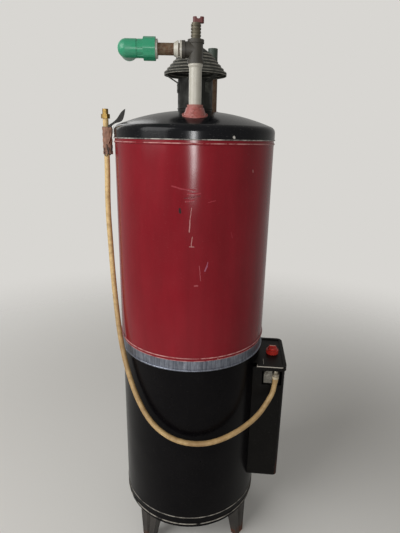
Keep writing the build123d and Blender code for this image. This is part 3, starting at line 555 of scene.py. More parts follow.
def jacket_marks(colour: str, *lines: tuple[float, float, float, float, float]) -> Marks:
    """Returns marks on the upper jacket's front.

    Args:
        colour: Their colour.
        lines: Where each starts, across and up, where it ends, and its half width, in metres.

    Returns:
        The marks.
    """
    strokes = []
    for x0, z0, x1, z1, half_width in lines:
        start, end = ((x, -math.sqrt(JACKET_RADIUS**2 - x**2), z) for x, z in ((x0, z0), (x1, z1)))
        strokes.append(Stroke(start, end, half_width))
    return Marks(colour, tuple(strokes))


# Stove enamel: a deep even red with a soft clear gloss, with pale scratches where things struck it,
# painted light and shade along its creases, and painted highlights on its bead crests.
RED_ENAMEL = Enamel(
    name="red_stove_enamel_on_sheet_steel", colour="#80121F", shade="#700E19", dust="#8A5A58",
    bare_and_highlight="#C08C88", roughness=0.19, dust_share=0.04, up_dust=0.2, wear_share=0.008, shine=0.2,
    marks=(
        jacket_marks(
            "#AE7A77",
            (-0.0058, 1.1728, -0.0090, 1.1400, 0.0009),
            (-0.0090, 1.1400, -0.0110, 1.1105, 0.0015),
            (-0.0024, 1.0974, -0.0057, 1.0720, 0.0010),
            (-0.0093, 1.0712, 0.0022, 1.0704, 0.0012),
            (0.1537, 1.2655, 0.1545, 1.2600, 0.0014),
            (0.0756, 0.7390, 0.0750, 0.7330, 0.0016),
        ),
        jacket_marks(
            "#965468",
            (0.0393, 1.0280, 0.0374, 1.0200, 0.0012),
            (0.0374, 1.0180, 0.0323, 1.0046, 0.0022),
        ),
        jacket_marks(
            "#9C4A50",
            (0.0166, 1.0188, 0.0216, 0.9767, 0.0011),
            (0.0051, 0.9626, 0.0129, 0.9626, 0.0024),
        ),
        # Painted light along creases in the sheet: pale lines where they catch the highlight.
        jacket_marks(
            "#8C2832",
            (-0.0552, 1.2265, -0.0299, 1.2200, 0.0022),
            (-0.0299, 1.2200, 0.0052, 1.2171, 0.0018),
            (-0.0147, 1.2085, 0.0154, 1.2100, 0.0020),
            (-0.0196, 1.1890, 0.0006, 1.1920, 0.0018),
            (0.0374, 1.1870, 0.0553, 1.1916, 0.0014),
            (0.0994, 1.1059, 0.1042, 1.0905, 0.0012),
        ),
        # Painted shade: a dark line along a crease.
        jacket_marks("#4A0A10", (-0.0235, 1.1972, 0.0168, 1.2030, 0.0012)),
        jacket_marks("#1A1110", (-0.0355, 1.1690, -0.0345, 1.1600, 0.0034)),
    ),
    # Painted highlights: thin pale lines on the bead crests and at the lower edge, where they catch the
    # light.
    painted_highlight_heights=((0.7330, 0.7343), (0.7425, 0.7440), (1.3295, 1.3312)),
)
# The same paint in black: hardly a colour of its own, with painted highlights on its lowest beads.
BLACK_ENAMEL = Enamel(
    name="black_stove_enamel_on_sheet_steel", colour="#070608", shade="#050406", dust="#4A4644",
    bare_and_highlight="#9A958C", roughness=0.24, dust_share=0.03, up_dust=0.12, wear_share=0.005, shine=0.07,
    # Painted highlights: thin pale lines on the lowest beads.
    painted_highlight_heights=((0.1572, 0.1602), (0.1314, 0.1340)),
)
# Gloss black on the pressed dome: the clearest mirror here, with a bright chipped spot at its rim and a
# painted highlight along its rolled rim.
LID_ENAMEL = Enamel(
    name="black_gloss_enamel_on_pressed_lid", colour="#07080C", shade="#05060A", dust="#4A4A4C",
    bare_and_highlight="#B4B0A8", roughness=0.17, dust_share=0.05, up_dust=0.03, wear_share=0.02, shine=0.17,
    marks=(Marks("#C8C4BC", (Stroke((0.0975, -0.2115, 1.3462), (0.0983, -0.2111, 1.3452), 0.0036),)),),
    # A painted highlight: a thin pale line along the rolled rim, where it catches the light.
    painted_highlight_heights=((1.3382, 1.3402),),
)
# Satin black on folded sheet: a dull sheen, with pale lines along the cap's folds that are painted
# highlights.
CONTROL_ENAMEL = Enamel(
    name="satin_black_enamel_on_folded_sheet", colour="#090807", shade="#060505", dust="#3A362F",
    bare_and_highlight="#A8A298", roughness=0.38, dust_share=0.05, up_dust=0.1, wear_share=0.01, shine=0.10,
    wave_depth=0.0012,
    marks=(
        # Painted highlights: pale lines along the cap's front and left folds, where they catch the
        # light.
        Marks(
            "#A8A298",
            (
                Stroke((0.2034, -0.1405, 0.6665), (0.2880, -0.1495, 0.6665), 0.0017),
                Stroke((0.2034, -0.1405, 0.6690), (0.2030, -0.1360, 0.6690), 0.0030),
                Stroke((0.2257, -0.1293, 0.6690), (0.2290, -0.0980, 0.6690), 0.0009),
            ),
            0.0015,
        ),
        Marks("#4A2A20", (Stroke((0.2890, -0.1250, 0.2420), (0.2900, -0.1230, 0.3300), 0.0040),)),
    ),
)
# Thin black paint on pressed legs: dusty and dull, with rust that climbs from the floor.
LEG_ENAMEL = Enamel(
    name="black_paint_on_pressed_steel_legs", colour="#191614", shade="#100E0D", dust="#6A645E",
    bare_and_highlight="#8A827A", roughness=0.4, dust_share=0.28, wear_share=0.06, rust_below=0.012, shine=0.3,
    wave_depth=0.001,
)
# Bare rolled steel: a blurred bright mirror with faint upright streaks.
BARE_BAND = SheetMetal(
    name="rolled_bare_steel_band", colour="#9CA1AD", dull="#5E636E", grime="#3A3A3E",
    roughness=0.26, streak_size=5.0,
)
# Zinc-dipped sheet left in the weather: grey spangle under a dark film.
GALVANISED = SheetMetal(
    name="weathered_galvanised_sheet", colour="#54564E", dull="#3A3B36", grime="#231F1B",
    roughness=0.45, metallic=0.5, spangle=11.0, streak=(1.0, 1.0, 0.15), streak_size=9.0,
    grime_share=0.5,
)
# The same sheet, darker from smoke, with painted highlights on the corners of its pressed steps: two
# at the brim, then five that are 9.2 mm apart.
HOOD_SHEET = replace(
    GALVANISED,
    name="stepped_galvanised_hood_sheet", colour="#44463F", dull="#2C2D29", grime="#1D1A16",
    # Painted highlights on the corners of the pressed steps.
    painted_highlight_heights=(
        (1.5100, 1.5116),
        (1.5165, 1.5182),
        *((1.5252 + 0.0092 * step, 1.5276 + 0.0092 * step) for step in range(5)),
    ),
)
# The same sheet where the smoke passes: nearly black, with a faint sheen.
FLUE_SHEET = replace(
    GALVANISED,
    name="sooted_galvanised_flue_sheet", colour="#2A2C26", dull="#1B1C19", grime="#14110F",
    roughness=0.4, streak=(1.0, 1.0, 0.1),
)
# Zinc-plated strip and screws: pale and bright, with grime in patches.
CLIP_STEEL = SheetMetal(
    name="zinc_plated_steel_strip", colour="#C8C8C4", dull="#9A9A96", grime="#4C4640",
    roughness=0.28, spangle=4.0, streak_size=3.0,
)
# A crimped collar: chalky and pale, with handling dirt.
HOSE_COLLAR = MouldedPlastic(
    name="pale_crimped_hose_collar", colour="#B7AC93", grime="#8A7A5C", roughness=0.4
)
# Oxide paint on a pressed flange: matt pinkish red, chalked in spots.
ESCUTCHEON = RustySteel(
    name="red_oxide_paint_on_pressed_flange", colour="#9E534C", rust="#84403A", bright="#D29A90",
    rust_share=0.45, roughness=0.5,
)
# Primer on tank plate: flat dark grey.
TANK_STEEL = Enamel(
    name="grey_primer_on_tank_plate", colour="#4A4744", shade="#3C3A37", dust="#6A665F",
    bare_and_highlight="#7A4A30", roughness=0.6,
)
# Drawn tube: silvery, with fine lines.
DRAWN_ALUMINIUM = SheetMetal(
    name="drawn_aluminium_tube", colour="#C9C9C7", dull="#A3A3A0", grime="#55514B", spangle=3.0,
    streak_size=2.0,
)
# Die-cast aluminium: warm grey with a fine grain on its front, and painted shade, near black, on the
# rest.
CAST_ALUMINIUM = CastMetal(
    name="die_cast_aluminium", colour="#7E7B73", grime="#3A3630", roughness=0.42, metallic=0.7,
    painted_shade_axis=(-0.1045, -0.9945, 0.0), painted_shade_below=0.094,
)
# Sand-cast iron: a dark coarse grain with hardly a shine.
BURNER_IRON = CastMetal(
    name="sand_cast_iron", colour="#3A3733", grime="#241C16", roughness=0.7, metallic=0.6, grain=2.4
)
# Machined brass: smooth and yellow, gone dull.
DULL_BRASS = CastMetal(
    name="machined_brass", colour="#A98A4E", grime="#4B3B22", roughness=0.35, grain_depth=0.00008
)
# Nickel plate on brass: pale and warm, with a soft shine.
PLATED_BRASS = CastMetal(
    name="nickel_plated_brass_spigot", colour="#B4AC9C", grime="#6A6252", roughness=0.4
)
# Tarnished brass: brown grey, with little of its shine left.
VALVE_METAL = CastMetal(
    name="tarnished_valve_brass", colour="#625C4C", grime="#332F25", roughness=0.5, metallic=0.4
)
# Oxide primer: matt brick pink, with darker rust in it.
RED_OXIDE = RustySteel(
    name="red_oxide_primer_on_steel", colour="#A0655C", rust="#7A3A30", bright="#C79A90", rust_share=0.35
)
# Bare steel pipe rusted all over: rough and brown.
RUSTED_STEEL = RustySteel(
    name="rusted_steel_pipe", colour="#66543F", rust="#523A29", bright="#74563C", rust_share=0.5
)
# Moulded polypropylene: clear green with a soft gloss.
GREEN_PLASTIC = MouldedPlastic(
    name="green_polypropylene_fitting", colour="#2C8F68", grime="#4C8870", roughness=0.26,
    grime_share=0.3, up_dust=0.1,
)
# The same plastic, darker on the cold coupling: a dull green grey.
SHADED_GREEN = MouldedPlastic(
    name="darkened_green_polypropylene_coupling", colour="#2B3A30", grime="#3C3D33", roughness=0.45,
    grime_share=0.4, up_dust=0.1,
)
# Rigid vinyl pipe: off-white and smooth, with dirt in patches.
WHITE_PLASTIC = MouldedPlastic(
    name="white_rigid_vinyl_pipe", colour="#BAB6AA", grime="#8E8878", roughness=0.32,
    grime_share=0.25, up_dust=0.1,
)
# A moulded tee left in the weather: dark olive, dull and dusty.
GREY_PLASTIC = MouldedPlastic(
    name="weathered_olive_moulded_tee", colour="#2D2A23", grime="#46423A", roughness=0.45,
    grime_share=0.5, up_dust=0.1,
)
# A moulded lever faded by the sun: a dull brownish red.
LEVER_RED = MouldedPlastic(
    name="faded_red_moulded_lever", colour="#571E1C", grime="#5E3834", roughness=0.45, up_dust=0.1
)
# A moulded knob: bright red with a soft gloss.
KNOB_RED = MouldedPlastic(
    name="red_moulded_knob", colour="#BA2A20", grime="#84403A", roughness=0.3, up_dust=0.05
)
# Extruded hose rubber: matt tan, and painted paler high up: painted light.
HOSE = HoseRubber(
    name="tan_gas_hose_rubber", colour="#9A7C52", bleach_and_light="#D8B980", grime="#7A5A32",
    painted_light_above=0.95,
)
# A strip of inner tube: a flat pinkish tan, black at its upper cut end.
TIE_RUBBER = HoseRubber(
    name="tan_inner_tube_strip", colour="#8C6450", bleach_and_light="#A9806A", grime="#3A2A22",
    roughness=0.6, black_above=1.3685,
)
# A thin rubber strip: nearly black and matt.
BLACK_STRIP = HoseRubber(
    name="black_rubber_strip", colour="#1A1714", bleach_and_light="#26221E", grime="#3C3833", roughness=0.55
)
# A moulded pointer: pale, with handling dirt.
KNOB_MARK = MouldedPlastic(
    name="pale_knob_pointer", colour="#D8C8B0", grime="#8A6A58", roughness=0.4, up_dust=0.1
)

FINISHED_NODES: dict[Finish, tuple[str, ...]] = {
    RED_ENAMEL: ("upper_jacket",),
    BARE_BAND: ("jacket_band",),
    BLACK_ENAMEL: ("lower_jacket", "base_ring", "base_pan"),
    LID_ENAMEL: ("lid",),
    LEG_ENAMEL: ("leg_1", "leg_2", "leg_3", "leg_4"),
    TANK_STEEL: ("tank_shell", "tank_top_head", "tank_bottom_head", "flue_tube"),
    BURNER_IRON: ("burner",),
    DRAWN_ALUMINIUM: ("burner_tube",),
    FLUE_SHEET: ("flue_pipe",),
    HOOD_SHEET: ("hood",),
    GALVANISED: ("hood_strap_1", "hood_strap_2", "hood_strap_3"),
    CONTROL_ENAMEL: ("control_cover", "control_cap"),
    CAST_ALUMINIUM: ("thermostat_body",),
    KNOB_RED: ("knob",),
    PLATED_BRASS: ("gas_spigot",),
    HOSE_COLLAR: ("hose_clip",),
    TIE_RUBBER: ("hose_tie",),
    CLIP_STEEL: ("tie_hook",),
    DULL_BRASS: ("hose_nozzle",),
    ESCUTCHEON: ("hot_escutcheon", "cold_escutcheon"),
    RED_OXIDE: ("hot_socket", "cold_socket"),
    WHITE_PLASTIC: ("hot_pipe", "white_rings"),
    GREY_PLASTIC: ("outlet_tee",),
    VALVE_METAL: ("relief_valve",),
    LEVER_RED: ("relief_lever",),
    RUSTED_STEEL: ("steel_nipple", "cold_pipe"),
    GREEN_PLASTIC: ("green_adapter", "green_elbow"),
    SHADED_GREEN: ("cold_adapter",),
}


# The photograph's viewpoint and the studio


@dataclass
class PhotoCamera:
    """Camera at the photograph's place: level with the lid, looking down along the heater."""

    eye: Point = (0.0, -1.2944, 1.3457)
    yaw: float = 1.012
    pitch: float = 17.15
    roll: float = 1.047
    focal_px: float = 419.8
    long_side_px: float = 533.0
    sensor: float = 36.0

    def build(self) -> None:
        """Creates the camera and makes it the scene's own."""
        yaw, pitch, roll = (math.radians(a) for a in (self.yaw, self.pitch, self.roll))
        ahead = Vector(
            (math.sin(yaw) * math.cos(pitch), math.cos(yaw) * math.cos(pitch), -math.sin(pitch))
        )
        level = Vector((math.cos(yaw), -math.sin(yaw), 0.0))
        over = level.cross(ahead)
        right = level * math.cos(roll) + over * math.sin(roll)
        up = over * math.cos(roll) - level * math.sin(roll)
        data = bpy.data.cameras.new("photo_camera")
        data.sensor_width = self.sensor
        data.lens = self.focal_px / self.long_side_px * self.sensor
        camera = bpy.data.objects.new("photo_camera", data)
        bpy.context.scene.collection.objects.link(camera)
        turn = Matrix((right, up, -ahead)).transposed().to_4x4()
        camera.matrix_world = Matrix.Translation(self.eye) @ turn
        bpy.context.scene.camera = camera


@dataclass
class Studio:
    """Pale floor that fades out far away, plain soft lamps and a pale world."""

    floor_radius: float = 9.0
    fade_start: float = 0.8
    fade_end: float = 3.2
    backdrop: str = "#D8D6D2"
    floor_colour: str = "#DEDCD7"
    world_light: float = 0.26
    mirrored_light: float = 0.5
    lit_spot: Point = (0.0, 0.0, 0.85)

    def build(self) -> None:
        """Builds the floor, the lamps and the world."""
        self.build_world()
        self.build_floor()
        self.lamp("key_lamp", (-2.4, -1.7, 2.4), (2.4, 2.4), 84.0)
        self.lamp("window_lamp", (-0.08, -2.8, 1.27), (0.24, 0.4), 23.0)
        self.lamp("back_lamp", (-1.6, 2.4, 2.4), (1.8, 1.8), 14.0)

    def build_world(self) -> None:
        """Lights everything a little from all round, and shows a pale backdrop."""
        world = bpy.data.worlds.new("studio_world")
        world.use_nodes = True
        tree = world.node_tree
        tree.nodes.clear()
        rays = add_node(tree, "LightPath").outputs
        mirrored = Mask(tree, rays["Is Glossy Ray"]) * self.mirrored_light
        seen = Mask(tree, rays["Is Camera Ray"]) | mirrored | Mask(tree, rays["Is Transmission Ray"])
        strength = add_node(tree, "MapRange", {0: seen.socket, 3: self.world_light, 4: 1.0})
        inputs = {"Color": linear(self.backdrop), "Strength": strength.outputs[0]}
        light = add_node(tree, "Background", inputs)
        add_node(tree, "OutputWorld", {"Surface": light.outputs[0]})
        bpy.context.scene.world = world

    def build_floor(self) -> None:
        """Makes the floor disc, opaque near the heater and clear far from it."""
        mesh = bpy.data.meshes.new("floor")
        shape = bmesh.new()
        bmesh.ops.create_circle(shape, cap_ends=True, segments=96, radius=self.floor_radius)
        shape.to_mesh(mesh)
        shape.free()
        floor = bpy.data.objects.new("floor", mesh)
        bpy.context.scene.collection.objects.link(floor)
        material = bpy.data.materials.new("pale_studio_floor")
        material.use_nodes = True
        tree = material.node_tree
        tree.nodes.clear()
        point = add_node(tree, "TexCoord").outputs["Object"]
        reach = add_node(tree, "VectorMath", {0: point}, operation="LENGTH").outputs["Value"]
        inputs = {0: reach, 1: self.fade_start, 2: self.fade_end}
        fade = add_node(tree, "MapRange", inputs, interpolation_type="SMOOTHSTEP")
        inputs = {"Base Color": linear(self.floor_colour), "Roughness": 0.75}
        matt = add_node(tree, "BsdfPrincipled", inputs)
        clear = add_node(tree, "BsdfTransparent")
        mix = add_node(tree, "MixShader", {0: fade.outputs[0], 1: matt.outputs[0], 2: clear.outputs[0]})
        add_node(tree, "OutputMaterial", {"Surface": mix.outputs[0]})
        mesh.materials.append(material)

    def lamp(self, name: str, place: Point, size: tuple[float, float], power: float) -> None:
        """Hangs a soft lamp that looks at the heater's middle.

        Args:
            name: The lamp's name.
            place: Where it hangs, in metres.
            size: Its width and height in metres.
            power: Its power in watts.
        """
        data = bpy.data.lights.new(name, "AREA")
        data.shape = "RECTANGLE"
        data.size, data.size_y = size
        data.energy = power
        lamp = bpy.data.objects.new(name, data)
        lamp.location = place
        look = Vector(self.lit_spot) - Vector(place)
        lamp.rotation_euler = look.to_track_quat("-Z", "Y").to_euler()
        bpy.context.scene.collection.objects.link(lamp)


# Making pieces: lengths are in metres, and azimuths in degrees from the front towards the right


def link_piece(
    name: str, data: bpy.types.ID, finish: Finish, body: Body = Body.HEATER
) -> bpy.types.Object:
    """Puts a new piece in the scene, dressed and riding on its body.

    Args:
        name: The piece's name.
        data: Its mesh or curve.
        finish: Its finish.
        body: The CAD body it rides on.

    Returns:
        The new object.
    """
    data.materials.append(finish.material())
    piece = bpy.data.objects.new(name, data)
    bpy.context.scene.collection.objects.link(piece)
    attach(piece, body.value)
    LOG.info("piece %s", name)
    return piece


def aim(place: Point, axis: Point, turn: float = 0.0) -> Matrix:
    """Returns the matrix that stands Z along an axis at a place, turned about it by some degrees."""
    stand = Vector(axis).to_track_quat("Z", "Y").to_matrix().to_4x4()
    return Matrix.Translation(place) @ stand @ Matrix.Rotation(math.radians(turn), 4, "Z")


def on_wall(radius: float, azimuth: float, z: float) -> tuple[Point, Point]:
    """Returns the point at an azimuth and height on a round wall, and the outward direction there."""
    out = (math.sin(math.radians(azimuth)), -math.cos(math.radians(azimuth)), 0.0)
    return (radius * out[0], radius * out[1], z), out


def upright(radius: float, azimuth: float, z: float) -> Matrix:
    """Returns the matrix of a level section on a round wall, with its Y axis outwards.

    Args:
        radius: The wall's radius.
        azimuth: The section's azimuth.
        z: Its height.

    Returns:
        The matrix.
    """
    place, out = on_wall(radius, azimuth, z)
    up = Vector((0.0, 0.0, 1.0))
    turn = Matrix((up.cross(Vector(out)), Vector(out), up)).transposed().to_4x4()
    return Matrix.Translation(place) @ turn


# The control cover stands turned by this angle, with its outer face to the right.
COVER_TURN = math.radians(-6.0)
COVER_OUT: Point = (math.cos(COVER_TURN), math.sin(COVER_TURN), 0.0)
COVER_NEAR: Point = (COVER_OUT[1], -COVER_OUT[0], 0.0)


def on_cover(out: float, along: float, z: float) -> Point:
    """Returns a point given in the control cover's own frame, all in metres."""
    cos, sin = math.cos(COVER_TURN), math.sin(COVER_TURN)
    return (out * cos - along * sin, out * sin + along * cos, z)


class Shape:
    """Collects turned and drawn-out bodies in one mesh. Outlines are in millimetres."""

    def __init__(self) -> None:
        """Starts with an empty mesh."""
        self.form = bmesh.new()

    def turned(self, profile: Sequence[tuple[float, float]], place: Matrix, sides: int) -> None:
        """Turns a profile of radius and height about the Z axis.

        Args:
            profile: Radius and height of each corner, from the base to the top.
            place: Where the body goes.
            sides: Sides of each ring.
        """
        rings = []
        for radius, height in profile:
            ring = []
            for side in range(sides):
                angle = math.tau * side / sides
                corner = Vector((radius * math.cos(angle), radius * math.sin(angle), height))
                ring.append(self.form.verts.new(place @ (corner * MM)))
            rings.append(ring)
        self.skin(rings)

    def drawn(self, outline: Sequence[tuple[float, float]], sections: Sequence[Matrix]) -> None:
        """Draws a closed outline through a row of places.

        Args:
            outline: Corners in the places' XY plane.
            sections: The places, one after another.
        """
        corners = [Vector((x * MM, y * MM, 0.0)) for x, y in outline]
        self.skin([[self.form.verts.new(place @ corner) for corner in corners] for place in sections])

    def ribbon(self, path: Sequence[Point], width: float, thick: float, across: Point) -> None:
        """Draws a flat strip along a path in metres.

        Args:
            path: Points of its middle line.
            width: Its width in millimetres.
            thick: Its thickness in millimetres.
            across: The direction of its width.
        """
        half, edge = width / 2, thick / 2
        sections = []
        for number, place in enumerate(path):
            before = Vector(path[max(number - 1, 0)])
            after = Vector(path[min(number + 1, len(path) - 1)])
            run = (after - before).normalized()
            side = (Vector(across) - Vector(across).dot(run) * run).normalized()
            turn = Matrix((side.cross(run), side, run)).transposed().to_4x4()
            sections.append(Matrix.Translation(place) @ turn)
        self.drawn([(-edge, -half), (edge, -half), (edge, half), (-edge, half)], sections)

    def skin(self, rings: Sequence[Sequence[bmesh.types.BMVert]]) -> None:
        """Joins rings of corners with faces, and closes both ends.

        Args:
            rings: The rings, with as many corners each.
        """
        count = len(rings[0])
        for low, high in zip(rings, rings[1:]):
            for side in range(count):
                after = (side + 1) % count
                self.form.faces.new((low[side], low[after], high[after], high[side]))
        self.form.faces.new(tuple(reversed(rings[0])))
        self.form.faces.new(tuple(rings[-1]))

    def link(
        self, name: str, finish: Finish, slot: str, body: Body = Body.HEATER, sharp: float = 35.0
    ) -> None:
        """Puts the bodies in the scene as one piece.

        Args:
            name: The piece's name.
            finish: Its finish.
            slot: The record's material slot; not used.
            body: The CAD body it rides on.
            sharp: Corners sharper than this angle, in degrees, aren't smoothed.
        """
        bmesh.ops.recalc_face_normals(self.form, faces=self.form.faces[:])
        mesh = bpy.data.meshes.new(name)
        self.form.to_mesh(mesh)
        self.form.free()
        mesh.shade_smooth()
        mesh.set_sharp_from_angle(angle=math.radians(sharp))
        link_piece(name, mesh, finish, body)


def wire(
    name: str, points: Sequence[Point], radius: float, facets: int = 3, steps: int = 6
) -> bpy.types.Curve:
    """Makes a round wire along a smooth curve.

    Args:
        name: The curve's name.
        points: The curve's points in metres.
        radius: The wire's radius in metres.
        facets: How finely its section is rounded.
        steps: Steps of the curve between two points.

    Returns:
        The curve.
    """
    curve = bpy.data.curves.new(name, "CURVE")
    curve.dimensions = "3D"
    curve.bevel_depth = radius
    curve.bevel_resolution = facets
    curve.resolution_u = steps
    curve.use_fill_caps = True
    spline = curve.splines.new("NURBS")
    spline.points.add(len(points) - 1)
    for knot, place in zip(spline.points, points):
        knot.co = (*place, 1.0)
    spline.order_u = 3
    spline.use_endpoint_u = True
    return curve


def thread(
    name: str, place: Matrix, radius: float, length: float, pitch: float, depth: float
) -> bpy.types.Curve:
    """Makes the ridge of a screw thread as one helix.

    Args:
        name: The curve's name.
        place: The thread's start, with Z along its axis.
        radius: The ridge's radius in millimetres.
        length: The threaded length in millimetres.
        pitch: The pitch in millimetres.
        depth: The ridge's half height in millimetres.

    Returns:
        The curve.
    """
    turn_steps = 16
    points = []
    for step in range(int(length / pitch * turn_steps) + 1):
        angle = math.tau * step / turn_steps
        rise = pitch * step / turn_steps
        corner = Vector((radius * math.cos(angle), radius * math.sin(angle), rise))
        points.append(tuple(place @ (corner * MM)))
    return wire(name, points, depth * MM)


# Pieces of the heater


@dataclass
class GasHose:
    """Gas hose that hangs in a loop across the front and climbs the left side to its tie."""

    radius: float = 0.008
    length: float = 1.45
    route: tuple[Point, ...] = (
        (0.263984, -0.138352, 0.634),
        (0.263984, -0.138352, 0.584),
        (0.2408, -0.1550, 0.5480),
        (0.2087, -0.1798, 0.5155),
        (0.1620, -0.2104, 0.4950),
        (0.1101, -0.2339, 0.4785),
        (0.0581, -0.2478, 0.4680),
        (0.0079, -0.2519, 0.4675),
        (-0.0429, -0.2483, 0.4765),
        (-0.0901, -0.2348, 0.4970),
        (-0.1299, -0.2136, 0.5290),
        (-0.1604, -0.1891, 0.5730),
        (-0.1857, -0.1614, 0.6230),
        (-0.2080, -0.1305, 0.6840),
        (-0.2254, -0.0999, 0.7520),
        (-0.2384, -0.0702, 0.8380),
        (-0.2481, -0.0496, 0.9340),
        (-0.2532, -0.0392, 1.0340),
        (-0.2580, -0.0321, 1.1440),
        (-0.2534, -0.0284, 1.2680),
        (-0.2534, -0.0284, 1.3910),
    )

    def build(self) -> None:
        curve = wire("gas_hose_curve", self.route, self.radius, facets=6, steps=10)
        hose = link_piece("hose", curve, HOSE)
        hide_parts("gas_hose")


@dataclass
class JacketSeams:
    """Folded lock seams where each rolled jacket sheet closes, on the back, and the band's rivets."""

    seam_azimuth: float = 176.0
    half_width: float = 4.6
    rise: float = 1.3
    lap_azimuth: float = 184.0
    band_radius: float = 0.2303
    rivet_radius: float = 2.6
    rivet_heights: tuple[float, ...] = (0.7110, 0.7250)

    def build(self) -> None:
        """Builds both seams, and rivets on both sides of the band's lap."""
        wide, rise = self.half_width, self.rise
        outline = [
            (-wide, -0.2),
            (-wide, 0.5),
            (1.2 - wide, rise),
            (wide - 1.6, rise),
            (wide, 0.9),
            (wide, -0.2),
        ]
        for name, radius, heights, finish, slot in (
            ("lower_lock_seam", 0.2290, (0.1640, 0.6960), BLACK_ENAMEL, "black_enamel"),
            ("upper_lock_seam", JACKET_RADIUS, (0.7470, 1.3240), RED_ENAMEL, "red_enamel"),
        ):
            seam = Shape()
            seam.drawn(outline, [upright(radius, self.seam_azimuth, z) for z in heights])
            seam.link(name, finish, slot)
        radius = self.rivet_radius
        profile = [(radius, -0.1), (radius, 0.4), (radius * 0.8, 1.1), (radius * 0.35, 1.45)]
        rivets = Shape()
        for z in self.rivet_heights:
            for shift in (-2.2, 2.2):
                stand = aim(*on_wall(self.band_radius, self.lap_azimuth + shift, z))
                rivets.turned(profile, stand, 20)
        rivets.link("band_rivets", BARE_BAND, "bare_band")


@dataclass
class HoodHardware:
    """Rivets that hold the straps to the flue pipe, and the flue pipe's own lap seam."""

    strap_azimuths: tuple[float, ...] = (42.0, 162.0, 282.0)
    strap_radius: float = 0.0517
    rivet_radius: float = 2.4
    rivet_heights: tuple[float, ...] = (1.4700, 1.4840)
    pipe_radius: float = 0.0495
    seam_azimuth: float = 120.0
    seam_heights: tuple[float, ...] = (1.4260, 1.4990)

    def build(self) -> None:
        """Builds two rivets on each strap and the seam."""
        radius = self.rivet_radius
        profile = [(radius, -0.4), (radius, 0.3), (radius * 0.75, 0.9), (radius * 0.3, 1.2)]
        rivets = Shape()
        for azimuth in self.strap_azimuths:
            for z in self.rivet_heights:
                rivets.turned(profile, aim(*on_wall(self.strap_radius, azimuth, z)), 18)
        rivets.link("strap_rivets", GALVANISED, "galvanised")
        seam = Shape()
        seam.drawn(
            [(-3.4, -0.2), (-3.4, 0.5), (-2.6, 1.0), (2.4, 1.0), (3.4, 0.4), (3.4, -0.2)],
            [upright(self.pipe_radius, self.seam_azimuth, z) for z in self.seam_heights],
        )
        seam.link("flue_lap_seam", FLUE_SHEET, "galvanised")


@dataclass
class CoverScrews:
    """Sheet-metal screws with a washer under a six-sided head, in the cover's outer face."""

    face: float = 0.3081
    sides: tuple[float, ...] = (-0.052, 0.034)
    heights: tuple[float, ...] = (0.285, 0.600)
    washer_radius: float = 4.4
    head_radius: float = 3.1

    def build(self) -> None:
        """Builds the four screws, each stopped at its own angle."""
        washer, head = self.washer_radius, self.head_radius
        screws = Shape()
        places = [on_cover(self.face, along, z) for z in self.heights for along in self.sides]
        for number, place in enumerate(places):
            stand = aim(place, COVER_OUT, 17.0 * number)
            screws.turned([(washer, -0.3), (washer, 0.3), (3.4, 0.6)], stand, 28)
            screws.turned([(head, 0.5), (head, 1.0), (2.6, 1.3)], stand, 6)
        screws.link("cover_screws", CLIP_STEEL, "clip_steel")


@dataclass
class InletDetails:
    """What stands out on the gas inlet: the swollen hose end over the barb and the boss's web."""

    hose_place: Point = GasHose.route[0]
    web_place: Point = on_cover(0.2470, -0.1120, 0.6150)
    web_depth: float = 1.4

    def build(self) -> None:
        """Builds the swelling and the web's two ribs."""
        swell = Shape()
        profile = [(8.05, -26.0), (8.6, -21.0), (9.3, -15.0), (9.3, -10.0)]
        swell.turned(profile, Matrix.Translation(self.hose_place), 40)
        swell.link("hose_swelling", HOSE, "hose_rubber")
        axes = (Vector(COVER_OUT), Vector((0.0, 0.0, 1.0)), -Vector(COVER_NEAR))
        low = Matrix.Translation(self.web_place) @ Matrix(axes).transposed().to_4x4()
        high = low @ Matrix.Translation((0.0, 0.0, -self.web_depth * MM)) @ Matrix.Scale(0.86, 4)
        web = Shape()
        web.drawn([(-2.0, -8.0), (13.0, 6.0), (13.0, 9.0), (-2.0, -2.0)], [low, high])
        web.drawn([(0.0, 16.0), (9.0, 20.0), (9.0, 23.0), (0.0, 19.0)], [low, high])
        web.link("boss_web", CAST_ALUMINIUM, "cast_aluminium")


@dataclass
class FittingDetails:
    """Thread ridges on the steel nipple and the hose's end piece, and ribs on the adapter's neck."""

    branch: Point = (0.0, -0.148, 1.55086)
    hose_end: Point = (-0.253411, -0.028425, 1.4040)
    neck_reach: float = 128.5
    neck_radius: float = 0.0203
    ribs: int = 12

    def on_branch(self, reach: float) -> Matrix:
        """Returns the matrix of a place on the left branch, Z along it, so many millimetres out."""
        x, y, z = self.branch
        return aim((x - reach * MM, y, z), (-1.0, 0.0, 0.0))

    def build(self) -> None:
        """Builds the threads and the ribs."""
        for name, reach, length in (("nipple_thread_near", 54.0, 7.0), ("nipple_thread_far", 83.0, 9.0)):
            ridge = thread(name, self.on_branch(reach), 13.9, length, 1.8, 0.45)
            link_piece(name, ridge, RUSTED_STEEL)
        ridge = thread("end_thread", Matrix.Translation(self.hose_end), 8.0, 11.5, 1.34, 0.32)
        link_piece("end_thread", ridge, DULL_BRASS)
        neck = Shape()
        for rib in range(self.ribs):
            turn = Matrix.Rotation(math.tau * rib / self.ribs, 4, "Z")
            lift = Matrix.Translation((self.neck_radius, 0.0, 0.0))
            near = self.on_branch(self.neck_reach) @ turn @ lift
            far = near @ Matrix.Translation((-0.0001, 0.0, 0.0150))
            neck.drawn([(0.0, -2.2), (1.4, -1.4), (1.4, 1.4), (0.0, 2.2)], [near, far])
        neck.link("neck_ribs", GREEN_PLASTIC, "green_plastic")


